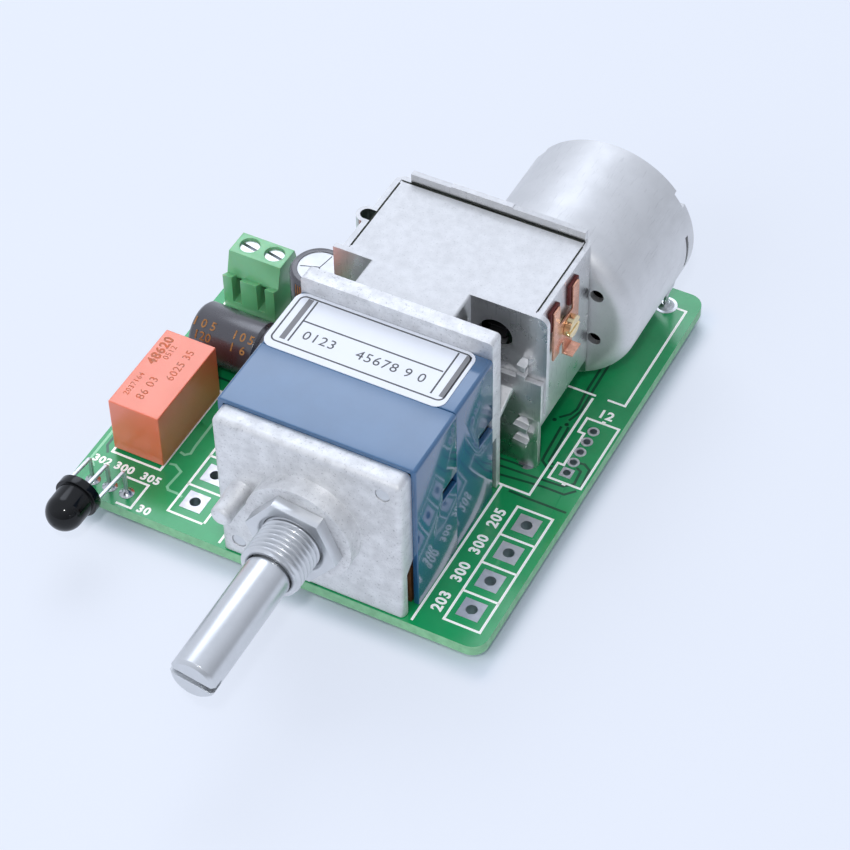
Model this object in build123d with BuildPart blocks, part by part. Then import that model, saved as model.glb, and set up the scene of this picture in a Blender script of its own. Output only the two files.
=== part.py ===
"""Volume control board: a motor-driven rotary control, relay, infrared sensor and pads on one circuit board.

Millimetres.  +X right, +Y from the shaft end towards the motor, +Z up.
Everything is drawn in board coordinates: from the board's left edge, front edge and top face.
The last lines move it into the frame, with the bottom centre of its bounding box at the origin.
"""
import math
import os

from build123d import *

# Board
board_thickness = 1.6
board_corner = 2.2
axis_x = 36.4
axis_to_right_edge = 23.3
board_behind_motor = 3.0
board_behind_terminal = 1.4
board_left_of_gearbox = 1.5
base_gap = 0.1
running_gap = 0.05
board_width = axis_x + axis_to_right_edge

# Leads and solder
tip_length = 2.0
lead_trim = 0.3
joint_height = 1.1
joint_spread = 0.45
top_joint_height = 0.5
thin_lead, thin_lead_hole = 0.5, 0.45
tip =-(board_thickness + tip_length)
trimmed_tip = tip + lead_trim

# Pads
plating = 0.05
barrel_wall = 0.1
pad_pitch = 5.08
pad_size = 3.0
pad_hole = 0.75
input_from_right, input_from_front = 3.9, 5.33
output_x, output_from_front = 16.6, 5.11
header_pitch = 2.0
header_pad = 1.6
header_hole = 0.5
header_from_right, header_from_front = 3.25, 30.88
motor_pad_radius = 1.6
motor_pad_hole = 0.6
motor_pad_spread = 9.1
motor_pad_from_back = 3.5

# Rotary control
axis_height = 12.0
seat_offset = 2.4
shaft_length = 24.7
shaft_radius = 3.0
shaft_chamfer = 0.4
shaft_clearance = 0.03
screwdriver_slot = 1.0
screwdriver_depth = 1.8
screwdriver_turn = 11.6
mouth_relief = 0.25
mouth_relief_length = 2.0
collar_step = 0.7
collar_thickness = 0.9
inner_shaft_radius = 2.4
bushing_wall = 1.0
bushing_length = 7.0
bushing_chamfer = 0.35
thread_pitch = 0.75
nut_flats = 11.0
nut_thickness = 1.8
nut_turn = 52
nut_chamfer = 0.6
plate_face = 0.2
plate_thickness = 2.8
plate_inset = 0.65
plate_drop = 0.6
plate_corner = 0.7
plate_top_edge = 0.9
plate_step_height = 7.2
plate_step_slope = 1.4
plate_step_depth = 3.0
plate_flange = 1.2
boss_radius = 7.3
lug_radius = 1.4
lug_draft = 0.2
lug_rounding = 0.35
lug_reach = 9.3
lug_rise = 0.6
lug_length = 2.5
case_half_width = 13.4
case_rise = 12.4
case_wall = 0.8
case_corner = 0.5
case_step = 0.1
front_case_length = 10.4
rear_case_length = 9.8
case_seam = 0.1
notch_length = 3.7
notch_height = 1.9
notch_rise = 0.4
label_thickness = 0.1
label_corner = 1.5
label_margin = 1.35
label_end_margin = 0.3
label_left = 0.65
label_back = 0.2
wafer_thickness = 1.6
wafer_seat = 0.05
wafer_gap = 0.3
wafer_top_gap = 0.6
terminal_pitch = 5.0
pot_pin_width, pot_pin_thickness, pot_pin_hole = 1.0, 0.5, 0.75
terminal_gap = 0.25
terminal_below_rotor = 0.6
rotor_gap = 0.65
rotor_radius = 8.8
rotor_thickness = 1.7
rotor_hub_radius = 4.0
rotor_hub_length = 1.5
wiper_thickness = 0.15
wiper_ring_outer, wiper_ring_inner = 6.0, 2.7
wiper_tip = 8.1
wiper_finger = 1.2
rear_plate_thickness = 2.2
rear_plate_corner = 0.6
rear_plate_rise = 0.1
rear_pocket_width = 4.2
rear_pocket_height = 9.6
rear_pocket_depth = 1.2
rivet_radius = 1.0
rivet_head = 1.5
rivet_head_height = 0.4
rivet_sink = 0.15
rivet_inset = 3.05
low_rivet_height = 2.5
high_rivet_drop = 2.9

shaft_overhang = seat_offset + shaft_length
seat = -seat_offset
nut_face = seat - nut_thickness
bushing_end = seat - bushing_length
bearing = bushing_end + mouth_relief_length
bushing_radius = shaft_radius + bushing_wall
bushing_bore = shaft_radius + shaft_clearance
pitch_radius = bushing_radius - 0.325 * thread_pitch
case_height = axis_height + case_rise
terminal_top = axis_height - rotor_radius - terminal_below_rotor
plate_back = plate_face + plate_thickness
plate_top = case_height - plate_drop
plate_half_width = case_half_width - plate_inset
case_split = plate_back + front_case_length
case_end = case_split + rear_case_length
rear_plate_end = case_end + rear_plate_thickness
front_wafer_y = plate_back + wafer_seat
rear_wafer_y = case_split + case_seam / 2 + wafer_gap
rivets = [(axis_x - case_half_width + rivet_inset, low_rivet_height),
          (axis_x + case_half_width - rivet_inset, case_height - high_rivet_drop)]

# Gearbox and worm drive
sheet = 0.8
bend = 0.6
through = 3.0
neck_length = 4.4
neck_half_width = 6.9
left_reach = 11.3
right_reach = 16.2
motor_reach = 9.7
gear_module = 0.4
cross_wheel_teeth = 26
output_wheel_teeth = 31
tooth_depth, tooth_height, tooth_width, tooth_flank = 1.25, 2.5, 2.07, 70
wheel_thickness = 2.6
cross_wheel_thickness = 2.4
mesh_gap = 0.15
cross_worm_radius = 1.25
cross_worm_length = 7.2
motor_worm_radius = 1.75
motor_worm_length = 6.4
thin_shaft_radius = 1.0
wheel_front_gap = 0.7
wheel_top_gap = 0.5
wheel_back_gap = 1.0
lid_gap = 0.1
lid_back_gap = 0.2
flange_left, flange_right = 1.0, 1.1
flange_corner = 1.3
lap_below_axis = 1.5
lap_height = 5.8
cover_hole_radius = 2.3
cover_hole_right, cover_hole_rise = 0.6, 1.7
web_bottom = 4.0
side_bottom = 6.8
web_lip = 1.4
web_lip_left, web_lip_right = 2.2, 0.9
web_bead_start, web_bead_length, web_bead_height = 7.9, 8.6, 0.15
rib_radius, rib_inner_radius = 1.5, 0.95
rib_bottom = 20.0
leg_left_inset, leg_right_overhang = 0.2, 0.9
left_leg_width, right_leg_width = 5.2, 8.3
leg_foot = 0.4
left_tab, right_tab = 2.4, 14.8
tab_half_width, tab_hole = 0.9, 1.15
tab_shoulder = 0.5
strut_width, strut_top, strut_fall, strut_height = 5.4, 2.1, 1.5, 0.85
bracket_inset = 2.2
bracket_bottom = 3.8
bracket_above_shaft = 2.5
lug_slot_gap = 0.05
upper_lug_height, upper_lug_rise = 2.9, 0.2
lower_lug_bottom, lower_lug_height = 4.2, 4.7
lug_share = 0.42
lug_reach_out = 1.4
lug_twist_length = 0.5
lug_twist = 80

# Slip clutch
clutch_sleeve = 0.35
clutch_flange_radius, clutch_flange_thickness = 4.6, 1.28
clutch_nut_radius, clutch_nut_thickness = 4.0, 0.8
clutch_spring_thickness = 0.3
clutch_spring_rise = 1.08
clutch_front, clutch_back = 2.0, 2.4
shaft_tail = 3.0

# End-play adjuster
pad_thickness = 0.4
strip_thickness = 0.3
blade_width = 1.7
rear_blade_top, front_blade_top = 5.4, 5.3
front_blade_bottom, rear_blade_bottom = 2.8, 1.4
blade_gap = 3.7
bridge_half_height = 1.7
tongue_width, tongue_bottom, tongue_lip = 2.5, 3.9, 1.5
fibre_width, fibre_bottom, fibre_top = 2.6, 2.2, 5.6
adjuster_radius, adjuster_head, adjuster_head_height = 0.8, 1.5, 0.9
adjuster_reach = 0.55
adjuster_slot, adjuster_slot_depth = 0.5, 0.4

# Motor
motor_lift = 0.3
motor_length = 19.6
can_wall = 0.8
can_front_wall = 0.9
can_shoulder = 2.4
can_spigot_radius, can_spigot_length = 2.9, 0.7
spigot_clearance = 0.2
vent_radius = 0.95
vents = [(7.15, 4.9), (7.0, -2.75), (-7.15, 4.9), (-7.0, -2.75)]
dimple_place, dimple_radius, dimple_depth = (5.4, -6.4), 0.7, 0.35
motor_screw_spread = 6.0
motor_screw_radius = 1.0
motor_screw_head, motor_screw_head_height = 1.8, 1.1
motor_screw_reach = 0.8
motor_screw_slot, motor_screw_slot_depth = 0.5, 0.4
side_slot_width, side_slot_height, side_slot_from_back = 0.7, 5.2, 1.7
crimp_size, crimp_depth = 1.8, 0.7
crimp_angles = (35, 145, 215, 325)
end_cap_thickness, end_cap_sink = 1.3, 0.1
end_cap_boss_radius, end_cap_boss_length = 3.0, 0.9
end_cap_bore_floor = 0.4
magnet_thickness = 1.8
magnet_gap = 4.8
magnet_front_gap, magnet_back_gap = 2.6, 3.6
air_gap = 0.5
core_front_gap, core_back_gap = 4.0, 6.0
core_slot_width, core_slot_depth = 2.4, 5.5
commutator_radius, commutator_back_gap = 2.4, 2.4
motor_shaft_front, motor_shaft_back = 4.0, 0.4
blade_spread, blade_drop = 5.5, 4.5
blade_half_width, blade_half_thickness = 0.8, 0.2
blade_length = 2.2
lead_radius = 0.35
lead_height = 2.35
lead_bend = 0.8
lead_behind_motor = 1.6

# Control chip under the board
chip_x, chip_from_back = 41.0, 16.0
chip_length, chip_width, chip_height = 9.9, 3.9, 1.45
chip_stand_off = 0.1
chip_pins, chip_pitch, chip_pin_width = 8, 1.27, 0.4
chip_foot, chip_lead, chip_lead_height = 1.0, 0.2, 0.75

# Relay
relay_x, relay_y = 2.57, 8.3
relay_width, relay_length, relay_height = 7.4, 14.4, 8.7
relay_lift = 0.3
relay_edge = 0.15
relay_wall = 0.7
relay_base_thickness = 0.9
relay_row, relay_pitch = 5.08, 2.54
coil_radius, coil_length, coil_height = 2.1, 9.4, 5.0
bobbin_half_width, bobbin_flange = 2.6, 0.7
armature_half_width, armature_thickness = 1.2, 1.8
relay_foot, relay_foot_x, relay_foot_y = 0.8, 1.0, 5.9
relay_pin_rise = 1.0
coil_front_gap, armature_rise = 1.1, 1.4

# Screw terminal
terminal_x, terminal_y = 1.95, 37.5
pole_pitch = 3.81
terminal_margin = 0.15
terminal_foot_depth, terminal_head_depth = 6.9, 6.0
terminal_height, terminal_back_edge = 8.6, 5.4
terminal_brow, terminal_brow_height = 2.1, 5.3
terminal_step, terminal_step_height = 1.25, 5.9
screw_from_front = 4.2
screw_head, screw_head_height, screw_sink = 1.35, 1.2, 1.6
screw_radius, screw_bottom = 0.8, 3.52
screw_slot, screw_slot_depth, screw_slot_turn = 0.45, 0.6, -12
screw_head_gap = 0.05
screw_shank_gap = 0.15
cage_half_width, cage_wall, cage_bottom, cage_height = 1.3, 0.4, 1.05, 3.45
cage_floor, cage_roof = 0.5, 0.6
cage_front, cage_length = 2.6, 3.0
cage_room = 0.1
cage_room_bottom, cage_room_top = 1.0, 6.0
entry_half_width, entry_bottom, entry_top = 0.65, 1.4, 4.9
terminal_hole = 0.65
terminal_lead_half_width, terminal_lead_half_depth, terminal_lead_y = 0.4, 0.25, 2.25
anvil_half_width, anvil_bottom, anvil_thickness = 0.6, 3.1, 0.4

# Capacitors
capacitor_radius = 4.0
capacitor_length = 11.8
sleeve_thickness = 0.15
crimp_from_base, crimp_depth_in, crimp_half_width = 2.1, 0.4, 0.4
rim = 0.4
sleeve_lip = 0.95
bung_thickness = 1.1
bung_sink = 0.1
capacitor_lead_spread = 1.75
capacitor_lead, capacitor_hole = 0.6, 0.5
lying_x, lying_y = 3.75, 29.0
lying_lead_reach = 1.6
upright_x, upright_y = 16.2, 39.2

# Infrared sensor
sensor_x, sensor_height = 5.49, 4.8
sensor_radius, sensor_collar, sensor_collar_thickness = 2.5, 2.95, 1.2
sensor_barrel = 2.4
sensor_stand_off = 3.4
sensor_lead_rise = 0.8
sensor_pitch = 2.54
sensor_pin_y = 2.5
sensor_lead_width, sensor_lead_thickness = 0.5, 0.4
sensor_lead_sink = 0.6
sensor_lead_bend = 0.5

gearbox_front = rear_plate_end + neck_length
gearbox_left = axis_x - left_reach
gearbox_right = axis_x + right_reach
cross_wheel_radius = gear_module * (cross_wheel_teeth / 2 + 1)
output_wheel_radius = gear_module * (output_wheel_teeth / 2 + 1)
cross_y = gearbox_front + sheet + wheel_front_gap + cross_wheel_radius
cross_z = axis_height + output_wheel_radius + mesh_gap + cross_worm_radius
gearbox_back = cross_y + cross_wheel_radius + wheel_back_gap + motor_screw_head_height
cover_top = cross_z + cross_wheel_radius + wheel_top_gap + sheet
rear_plate_top = cover_top + rear_plate_rise
lap_bottom = axis_height - lap_below_axis
lap_top = lap_bottom + lap_height
wing_x = gearbox_right - bracket_inset
motor_x = axis_x + motor_reach
motor_z = cross_z - cross_wheel_radius - mesh_gap - motor_worm_radius
motor_radius = motor_z - motor_lift
motor_front = gearbox_back + sheet
motor_back = motor_front + motor_length
board_length = motor_back + board_behind_motor
step_x = gearbox_left - board_left_of_gearbox
step_y = terminal_y + terminal_foot_depth + board_behind_terminal

# Places of the pads and of everything soldered through the board
input_places = [(board_width - input_from_right, input_from_front + pad_pitch * i) for i in range(4)]
output_places = [(output_x, output_from_front + pad_pitch * i) for i in range(4)]
header_places = [(board_width - header_from_right, header_from_front + header_pitch * i) for i in range(5)]
motor_places = [(motor_x + s * motor_pad_spread, board_length - motor_pad_from_back) for s in (-1, 1)]
pot_places = [(axis_x + terminal_pitch * i, y + wafer_thickness + terminal_gap)
              for y in (front_wafer_y, rear_wafer_y) for i in (-1, 0, 1)]
relay_middle = (relay_x + relay_width / 2, relay_y + relay_length / 2)
relay_places = [(relay_middle[0] + s * relay_row / 2, relay_middle[1] + relay_pitch * i)
                for s in (-1, 1) for i in (-2, 0, 1, 2)]
terminal_width = 2 * (pole_pitch + terminal_margin)
pole_x = [terminal_x + terminal_width / 2 + s * pole_pitch / 2 for s in (-1, 1)]
terminal_places = [(x, terminal_y + terminal_lead_y) for x in pole_x]
lying_lead_x = lying_x + capacitor_length + lying_lead_reach
capacitor_places = [(lying_lead_x, lying_y + s * capacitor_lead_spread) for s in (-1, 1)]
capacitor_places += [(upright_x + s * capacitor_lead_spread, upright_y) for s in (-1, 1)]
sensor_places = [(sensor_x + sensor_pitch * i, sensor_pin_y) for i in (-1, 0, 1)]
tab_places = [(gearbox_left + left_tab, gearbox_front + sheet / 2), (axis_x + right_tab, gearbox_front + sheet / 2)]

# Each group of leads: places, half width, half depth, hole radius, whether its solder shows on top
lead_groups = [
    (pot_places, pot_pin_width / 2, pot_pin_thickness / 2, pot_pin_hole, False),
    (relay_places, thin_lead / 2, thin_lead / 2, thin_lead_hole, False),
    (terminal_places, terminal_lead_half_width, terminal_lead_half_depth, terminal_hole, False),
    (capacitor_places, capacitor_lead / 2, capacitor_lead / 2, capacitor_hole, False),
    (sensor_places, sensor_lead_width / 2, sensor_lead_thickness / 2, thin_lead_hole, True),
    (tab_places, tab_half_width, sheet / 2, tab_hole, False),
    (motor_places, lead_radius, lead_radius, motor_pad_hole, True),
]


def block(x, y, z, mode=Mode.ADD):
    """A box between the ends of three spans."""
    with Locations((sum(x) / 2, sum(y) / 2, sum(z) / 2)):
        Box(x[1] - x[0], y[1] - y[0], z[1] - z[0], mode=mode)


def about(centre, half):
    """The span that reaches half to each side of a centre."""
    return centre - half, centre + half


def bar_x(y, z, radius, span, mode=Mode.ADD):
    """A round bar across the board."""
    with Locations(Location((sum(span) / 2, y, z), (0, 90, 0))):
        Cylinder(radius, span[1] - span[0], mode=mode)


def bar_y(x, z, radius, span, mode=Mode.ADD):
    """A round bar along the board."""
    with Locations(Location((x, sum(span) / 2, z), (90, 0, 0))):
        Cylinder(radius, span[1] - span[0], mode=mode)


def bar_z(x, y, radius, span, mode=Mode.ADD):
    """A standing round bar."""
    with Locations((x, y, sum(span) / 2)):
        Cylinder(radius, span[1] - span[0], mode=mode)


def turned_y(x, z, outline):
    """Turns a closed outline of (radius, y) points about a line along the board."""
    with BuildSketch(Plane.XY.offset(z)) as profile:
        with BuildLine():
            Polyline(*[(x + radius, y) for radius, y in outline], close=True)
        make_face()
    revolve(profile.sketch, axis=Axis((x, 0, z), (0, 1, 0)))


def facing_front(y):
    """The plane at y that faces the front: X to the right, Z up."""
    return Plane.XZ.offset(-y)


def facing_right(x):
    """The plane at x that faces right: Y to the right, Z up."""
    return Plane.YZ.offset(x)


def rectangle(x, y, mode=Mode.ADD):
    """A rectangle in a sketch, between the ends of two spans."""
    with Locations((sum(x) / 2, sum(y) / 2)):
        Rectangle(x[1] - x[0], y[1] - y[0], mode=mode)


# The board is stepped at the back left, where it ends just behind the screw terminal
with BuildPart() as circuit_board:
    with BuildSketch() as board_plan:
        with BuildLine():
            Polyline((0, 0), (board_width, 0), (board_width, board_length), (step_x, board_length), (step_x, step_y),
                     (0, step_y), close=True)
        make_face()
        fillet(board_plan.vertices(), board_corner)
        with Locations(input_places + output_places):
            Circle(pad_hole + barrel_wall, mode=Mode.SUBTRACT)
        with Locations(header_places):
            Circle(header_hole + barrel_wall, mode=Mode.SUBTRACT)
        for places, _, _, hole, _ in lead_groups:
            with Locations(places):
                Circle(hole, mode=Mode.SUBTRACT)
    extrude(amount=-board_thickness)


def plated_holes(squares, rounds, size, hole):
    """Pads on both faces of the board, joined by the plating of their holes."""
    places = squares + rounds
    with BuildPart() as pads:
        for face in (0, -board_thickness - plating):
            with BuildSketch(Plane.XY.offset(face)):
                with Locations(squares):
                    Rectangle(size, size)
                if rounds:
                    with Locations(rounds):
                        Circle(size / 2)
                with Locations(places):
                    Circle(hole, mode=Mode.SUBTRACT)
            extrude(amount=plating)
        with BuildSketch():
            with Locations(places):
                Circle(hole + barrel_wall)
                Circle(hole, mode=Mode.SUBTRACT)
        extrude(amount=-board_thickness)
    return pads


input_pads = plated_holes(input_places, [], pad_size, pad_hole)
output_pads = plated_holes(output_places, [], pad_size, pad_hole)
connector_pads = plated_holes(header_places[:1], header_places[1:], header_pad, header_hole)

with BuildPart() as motor_pads:
    with BuildSketch():
        with Locations(motor_places):
            Circle(motor_pad_radius)
            Circle(motor_pad_hole, mode=Mode.SUBTRACT)
    extrude(amount=plating)

with BuildPart() as solder_joints:
    for places, half_width, half_depth, hole, shows in lead_groups:
        for x, y in places:
            bar_z(x, y, hole, (-board_thickness, 0))
            with Locations(Location((x, y, -board_thickness - joint_height / 2), (180, 0, 0))):
                Cone(hole + joint_spread, max(half_width, half_depth) + lead_trim / 2, joint_height)
            if shows:
                bar_z(x, y, hole, (0, plating))
                with Locations((x, y, plating + top_joint_height / 2)):
                    Cone(hole + joint_spread - barrel_wall, hole - running_gap, top_joint_height)
            block(about(x, half_width), about(y, half_depth), (2 * tip, -tip), Mode.SUBTRACT)

# The chip's body and its gull-wing leads
chip_y = board_length - chip_from_back
chip_top = -board_thickness - chip_stand_off
chip_middle = (chip_x + chip_length / 2, chip_y + chip_width / 2)
with BuildPart() as control_chip:
    block((chip_x, chip_x + chip_length), (chip_y, chip_y + chip_width), (chip_top - chip_height, chip_top))
    chamfer(control_chip.edges().group_by(Axis.Z)[0], chip_stand_off)
    lead_z = -board_thickness - chip_lead_height
    knee = chip_y - chip_foot / 2
    for i in range(chip_pins):
        start = chip_middle[0] + chip_pitch * (i - (chip_pins - 1) / 2) - chip_pin_width / 2
        with BuildSketch(facing_right(start)):
            with BuildLine():
                Polyline((chip_y, lead_z), (knee, lead_z), (knee, -board_thickness - chip_lead),
                         (chip_y - chip_foot, -board_thickness - chip_lead), (chip_y - chip_foot, -board_thickness),
                         (knee + chip_lead, -board_thickness), (knee + chip_lead, lead_z + chip_lead),
                         (chip_y, lead_z + chip_lead), close=True)
            make_face()
        extrude(amount=chip_pin_width)
    one_side = control_chip.part
    mirror(one_side, about=Plane.XZ.offset(-chip_middle[1]))

# Front of the rotary control
with BuildPart() as front_plate:
    with BuildSketch(facing_front(plate_back)):
        rectangle(about(axis_x, plate_half_width), (base_gap, plate_top))
    extrude(amount=plate_thickness)
    fillet(front_plate.edges().filter_by(Axis.Z).group_by(Axis.Y)[0], plate_corner)
    fillet(front_plate.edges().filter_by(Axis.X).group_by(Axis.Z)[-1].sort_by(Axis.Y)[0], plate_top_edge)
    for side, x in ((1, axis_x - plate_half_width), (-1, axis_x + plate_half_width)):
        with BuildSketch(facing_right(x - side)):
            with BuildLine():
                Polyline((plate_face + plate_flange, -1), (plate_back + 1, -1),
                         (plate_back + 1, plate_step_height + plate_step_slope),
                         (plate_back, plate_step_height + plate_step_slope),
                         (plate_face + plate_flange, plate_step_height), close=True)
            make_face()
        extrude(amount=side * (plate_step_depth + 1), mode=Mode.SUBTRACT)
    with BuildSketch(facing_front(plate_face)):
        with Locations((axis_x, axis_height)):
            Circle(boss_radius)
    extrude(amount=plate_face - seat)
    turned_y(axis_x - lug_reach, axis_height + lug_rise, [
        (0, plate_face + 1), (lug_radius + lug_draft, plate_face + 1), (lug_radius + lug_draft, plate_face),
        (lug_radius, seat), (lug_radius, seat - lug_length + lug_rounding), (lug_radius - lug_rounding, seat - lug_length),
        (0, seat - lug_length)])
    bar_y(axis_x, axis_height, bushing_radius, (seat - 1, plate_back + 1), Mode.SUBTRACT)
    for x, z in rivets:
        bar_y(x, z, rivet_radius, (plate_face - 1, plate_back + 1), Mode.SUBTRACT)

# Where the nut is engaged, both threads are drawn at their pitch radius
with BuildPart() as bushing:
    turned_y(axis_x, axis_height, [
        (bushing_bore, bearing), (bushing_bore + mouth_relief, bearing), (bushing_bore + mouth_relief, bushing_end),
        (bushing_radius - bushing_chamfer, bushing_end),
        (bushing_radius, bushing_end + bushing_chamfer), (bushing_radius, nut_face), (pitch_radius, nut_face),
        (pitch_radius, seat), (bushing_radius, seat), (bushing_radius, plate_back), (bushing_bore, plate_back)])

with BuildPart() as panel_nut:
    nut_across = nut_flats / math.sqrt(3)
    turned_y(axis_x, axis_height, [
        (pitch_radius, nut_face), (nut_flats / 2, nut_face), (nut_across, nut_face + nut_chamfer), (nut_across, seat),
        (pitch_radius, seat)])
    with BuildSketch(facing_front(seat + 1)):
        with Locations((axis_x, axis_height)):
            RegularPolygon(nut_flats / 2, 6, major_radius=False, rotation=nut_turn)
    extrude(amount=nut_thickness + 2, mode=Mode.INTERSECT)

with BuildPart() as pot_shaft:
    end = seat - shaft_length
    groove = bushing_end - shaft_chamfer / 2
    shoulder = plate_back + 2 * running_gap
    shaft_tip = gearbox_back - shaft_tail
    turned_y(axis_x, axis_height, [
        (0, end), (shaft_radius - shaft_chamfer, end), (shaft_radius, end + shaft_chamfer), (shaft_radius, groove),
        (shaft_radius - mouth_relief, groove), (shaft_radius - mouth_relief, bearing), (shaft_radius, bearing),
        (shaft_radius, shoulder), (shaft_radius + collar_step, shoulder),
        (shaft_radius + collar_step, shoulder + collar_thickness), (inner_shaft_radius, shoulder + collar_thickness),
        (inner_shaft_radius, shaft_tip), (0, shaft_tip)])
    with Locations(Location((axis_x, end + screwdriver_depth / 2, axis_height), (0, screwdriver_turn, 0))):
        Box(3 * shaft_radius, screwdriver_depth, screwdriver_slot, mode=Mode.SUBTRACT)


def case(half_width, start, end):
    """An upside-down trough over part of the control, notched at both sides of its rear end."""
    with BuildPart() as shell:
        with BuildSketch(facing_front(end)) as outline:
            rectangle(about(axis_x, half_width), (base_gap, case_height))
            fillet(outline.vertices().group_by(Axis.Y)[-1], case_corner)
            rectangle(about(axis_x, half_width - case_wall), (0, case_height - case_wall), Mode.SUBTRACT)
        extrude(amount=end - start)
        notch = axis_height + notch_rise
        block(about(axis_x, half_width + 1), (end - notch_length, end + 1), (notch, notch + notch_height), Mode.SUBTRACT)
    return shell


front_case = case(case_half_width, plate_back, case_split - case_seam / 2)
rear_case = case(case_half_width - case_step, case_split + case_seam / 2, case_end)

with BuildPart() as label:
    with BuildSketch(Plane.XY.offset(case_height)):
        with Locations((axis_x - label_left, (case_split + case_end) / 2 + label_back)):
            RectangleRounded(2 * (case_half_width - label_margin), rear_case_length - 2 * label_end_margin, label_corner)
    extrude(amount=label_thickness)


def wafer(y):
    """A resistor wafer across the control, its front face at y."""
    with BuildPart() as plate:
        with BuildSketch(facing_front(y + wafer_thickness)):
            rectangle(about(axis_x, case_half_width - case_wall - wafer_gap),
                      (base_gap, case_height - case_wall - wafer_top_gap))
            with Locations((axis_x, axis_height)):
                Circle(shaft_radius + collar_step + wafer_top_gap, mode=Mode.SUBTRACT)
            with Locations(rivets):
                Circle(rivet_radius, mode=Mode.SUBTRACT)
        extrude(amount=wafer_thickness)
    return plate


def rotor(wafer_y):
    """The turning disc behind a wafer, with a hub on the inner shaft."""
    face = wafer_y + wafer_thickness + rotor_gap
    back = face + rotor_thickness
    with BuildPart() as disc:
        turned_y(axis_x, axis_height, [
            (inner_shaft_radius, face), (rotor_radius, face), (rotor_radius, back), (rotor_hub_radius, back),
            (rotor_hub_radius, back + rotor_hub_length), (inner_shaft_radius, back + rotor_hub_length)])
    return disc


front_wafer = wafer(front_wafer_y)
rear_wafer = wafer(rear_wafer_y)
front_rotor = rotor(front_wafer_y)
rear_rotor = rotor(rear_wafer_y)

with BuildPart() as pot_terminals:
    with BuildSketch():
        with Locations(pot_places):
            Rectangle(pot_pin_width, pot_pin_thickness)
    extrude(amount=terminal_top)
    extrude(pot_terminals.faces().group_by(Axis.Z)[0], amount=-tip)

# Each wiper is a ring with an arm whose finger bends forward to its wafer
with BuildPart() as wiper_springs:
    for wafer_y in (front_wafer_y, rear_wafer_y):
        back = wafer_y + wafer_thickness + rotor_gap
        face = back - wiper_thickness
        touch = wafer_y + wafer_thickness + running_gap
        arm_end = axis_height + wiper_tip
        with BuildSketch(facing_front(back)):
            with Locations((axis_x, axis_height)):
                Circle(wiper_ring_outer)
            rectangle(about(axis_x, wiper_finger / 2), (axis_height, arm_end))
            with Locations((axis_x, axis_height)):
                Circle(wiper_ring_inner, mode=Mode.SUBTRACT)
        extrude(amount=wiper_thickness)
        with BuildSketch(facing_right(axis_x - wiper_finger / 2)):
            with BuildLine():
                Polyline((face, arm_end), (touch, arm_end - wiper_finger / 2), (touch, arm_end - wiper_finger),
                         (face, arm_end - wiper_finger / 2), close=True)
            make_face()
        extrude(amount=wiper_finger)

with BuildPart() as rear_plate:
    half = case_half_width - 2 * case_step
    with BuildSketch(facing_front(rear_plate_end)) as outline:
        rectangle(about(axis_x, half), (base_gap, rear_plate_top))
        fillet(outline.vertices().group_by(Axis.Y)[-1], rear_plate_corner)
        with Locations((axis_x, axis_height)):
            Circle(inner_shaft_radius + running_gap, mode=Mode.SUBTRACT)
        with Locations(rivets):
            Circle(rivet_radius, mode=Mode.SUBTRACT)
    extrude(amount=rear_plate_thickness)
    pocket = (case_end - 1, case_end + rear_pocket_depth)
    inner = half - rear_pocket_width
    block((axis_x - half - 1, axis_x - inner), pocket, (-1, rear_pocket_height), Mode.SUBTRACT)
    block((axis_x + inner, axis_x + half + 1), pocket, (-1, rear_pocket_height), Mode.SUBTRACT)

with BuildPart() as tie_rivets:
    for x, z in rivets:
        turned_y(x, z, [
            (0, plate_face + rivet_sink), (rivet_radius, plate_face + rivet_sink), (rivet_radius, rear_plate_end),
            (rivet_head, rear_plate_end), (rivet_radius, rear_plate_end + rivet_head_height),
            (0, rear_plate_end + rivet_head_height)])

# Folded sheet of the gearbox
lid_left = gearbox_left + sheet + lid_gap
lid_right = gearbox_right - sheet - lid_gap
neck_front = rear_plate_end + running_gap
upper_lug = (lap_top + upper_lug_rise, lap_top + upper_lug_rise + upper_lug_height)
lower_lug = (lower_lug_bottom, lower_lug_bottom + lower_lug_height)
lug_slot = (wing_x - lug_slot_gap, wing_x + sheet + lug_slot_gap)
shaft_room = inner_shaft_radius + lug_radius / 2 + mesh_gap

with BuildPart() as gearbox_cover:
    with BuildSketch(Plane.XY.offset(cover_top)):
        rectangle((lid_left, lid_right), (gearbox_front, gearbox_back - lid_back_gap))
    extrude(amount=-sheet)
    with BuildSketch(facing_front(gearbox_front)) as neck:
        rectangle(about(axis_x, neck_half_width), (lap_top + lid_gap, cover_top))
        fillet(neck.vertices().group_by(Axis.Y)[-1], bend / 2)
        rectangle(about(axis_x, neck_half_width - sheet), (lap_top, cover_top - sheet), Mode.SUBTRACT)
    extrude(amount=gearbox_front - neck_front)
    with BuildSketch(facing_front(gearbox_front + sheet)) as flange:
        rectangle((gearbox_left - flange_left, gearbox_right + flange_right), (lap_bottom + running_gap, cover_top))
        fillet(flange.vertices().group_by(Axis.Y)[-1].sort_by(Axis.X)[-1], flange_corner)
        with Locations((motor_x + cover_hole_right, cross_z + cover_hole_rise)):
            Circle(cover_hole_radius, mode=Mode.SUBTRACT)
        with Locations((axis_x, axis_height)):
            Circle(shaft_room, mode=Mode.SUBTRACT)
        rectangle(lug_slot, upper_lug, Mode.SUBTRACT)
    extrude(amount=sheet)

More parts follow.
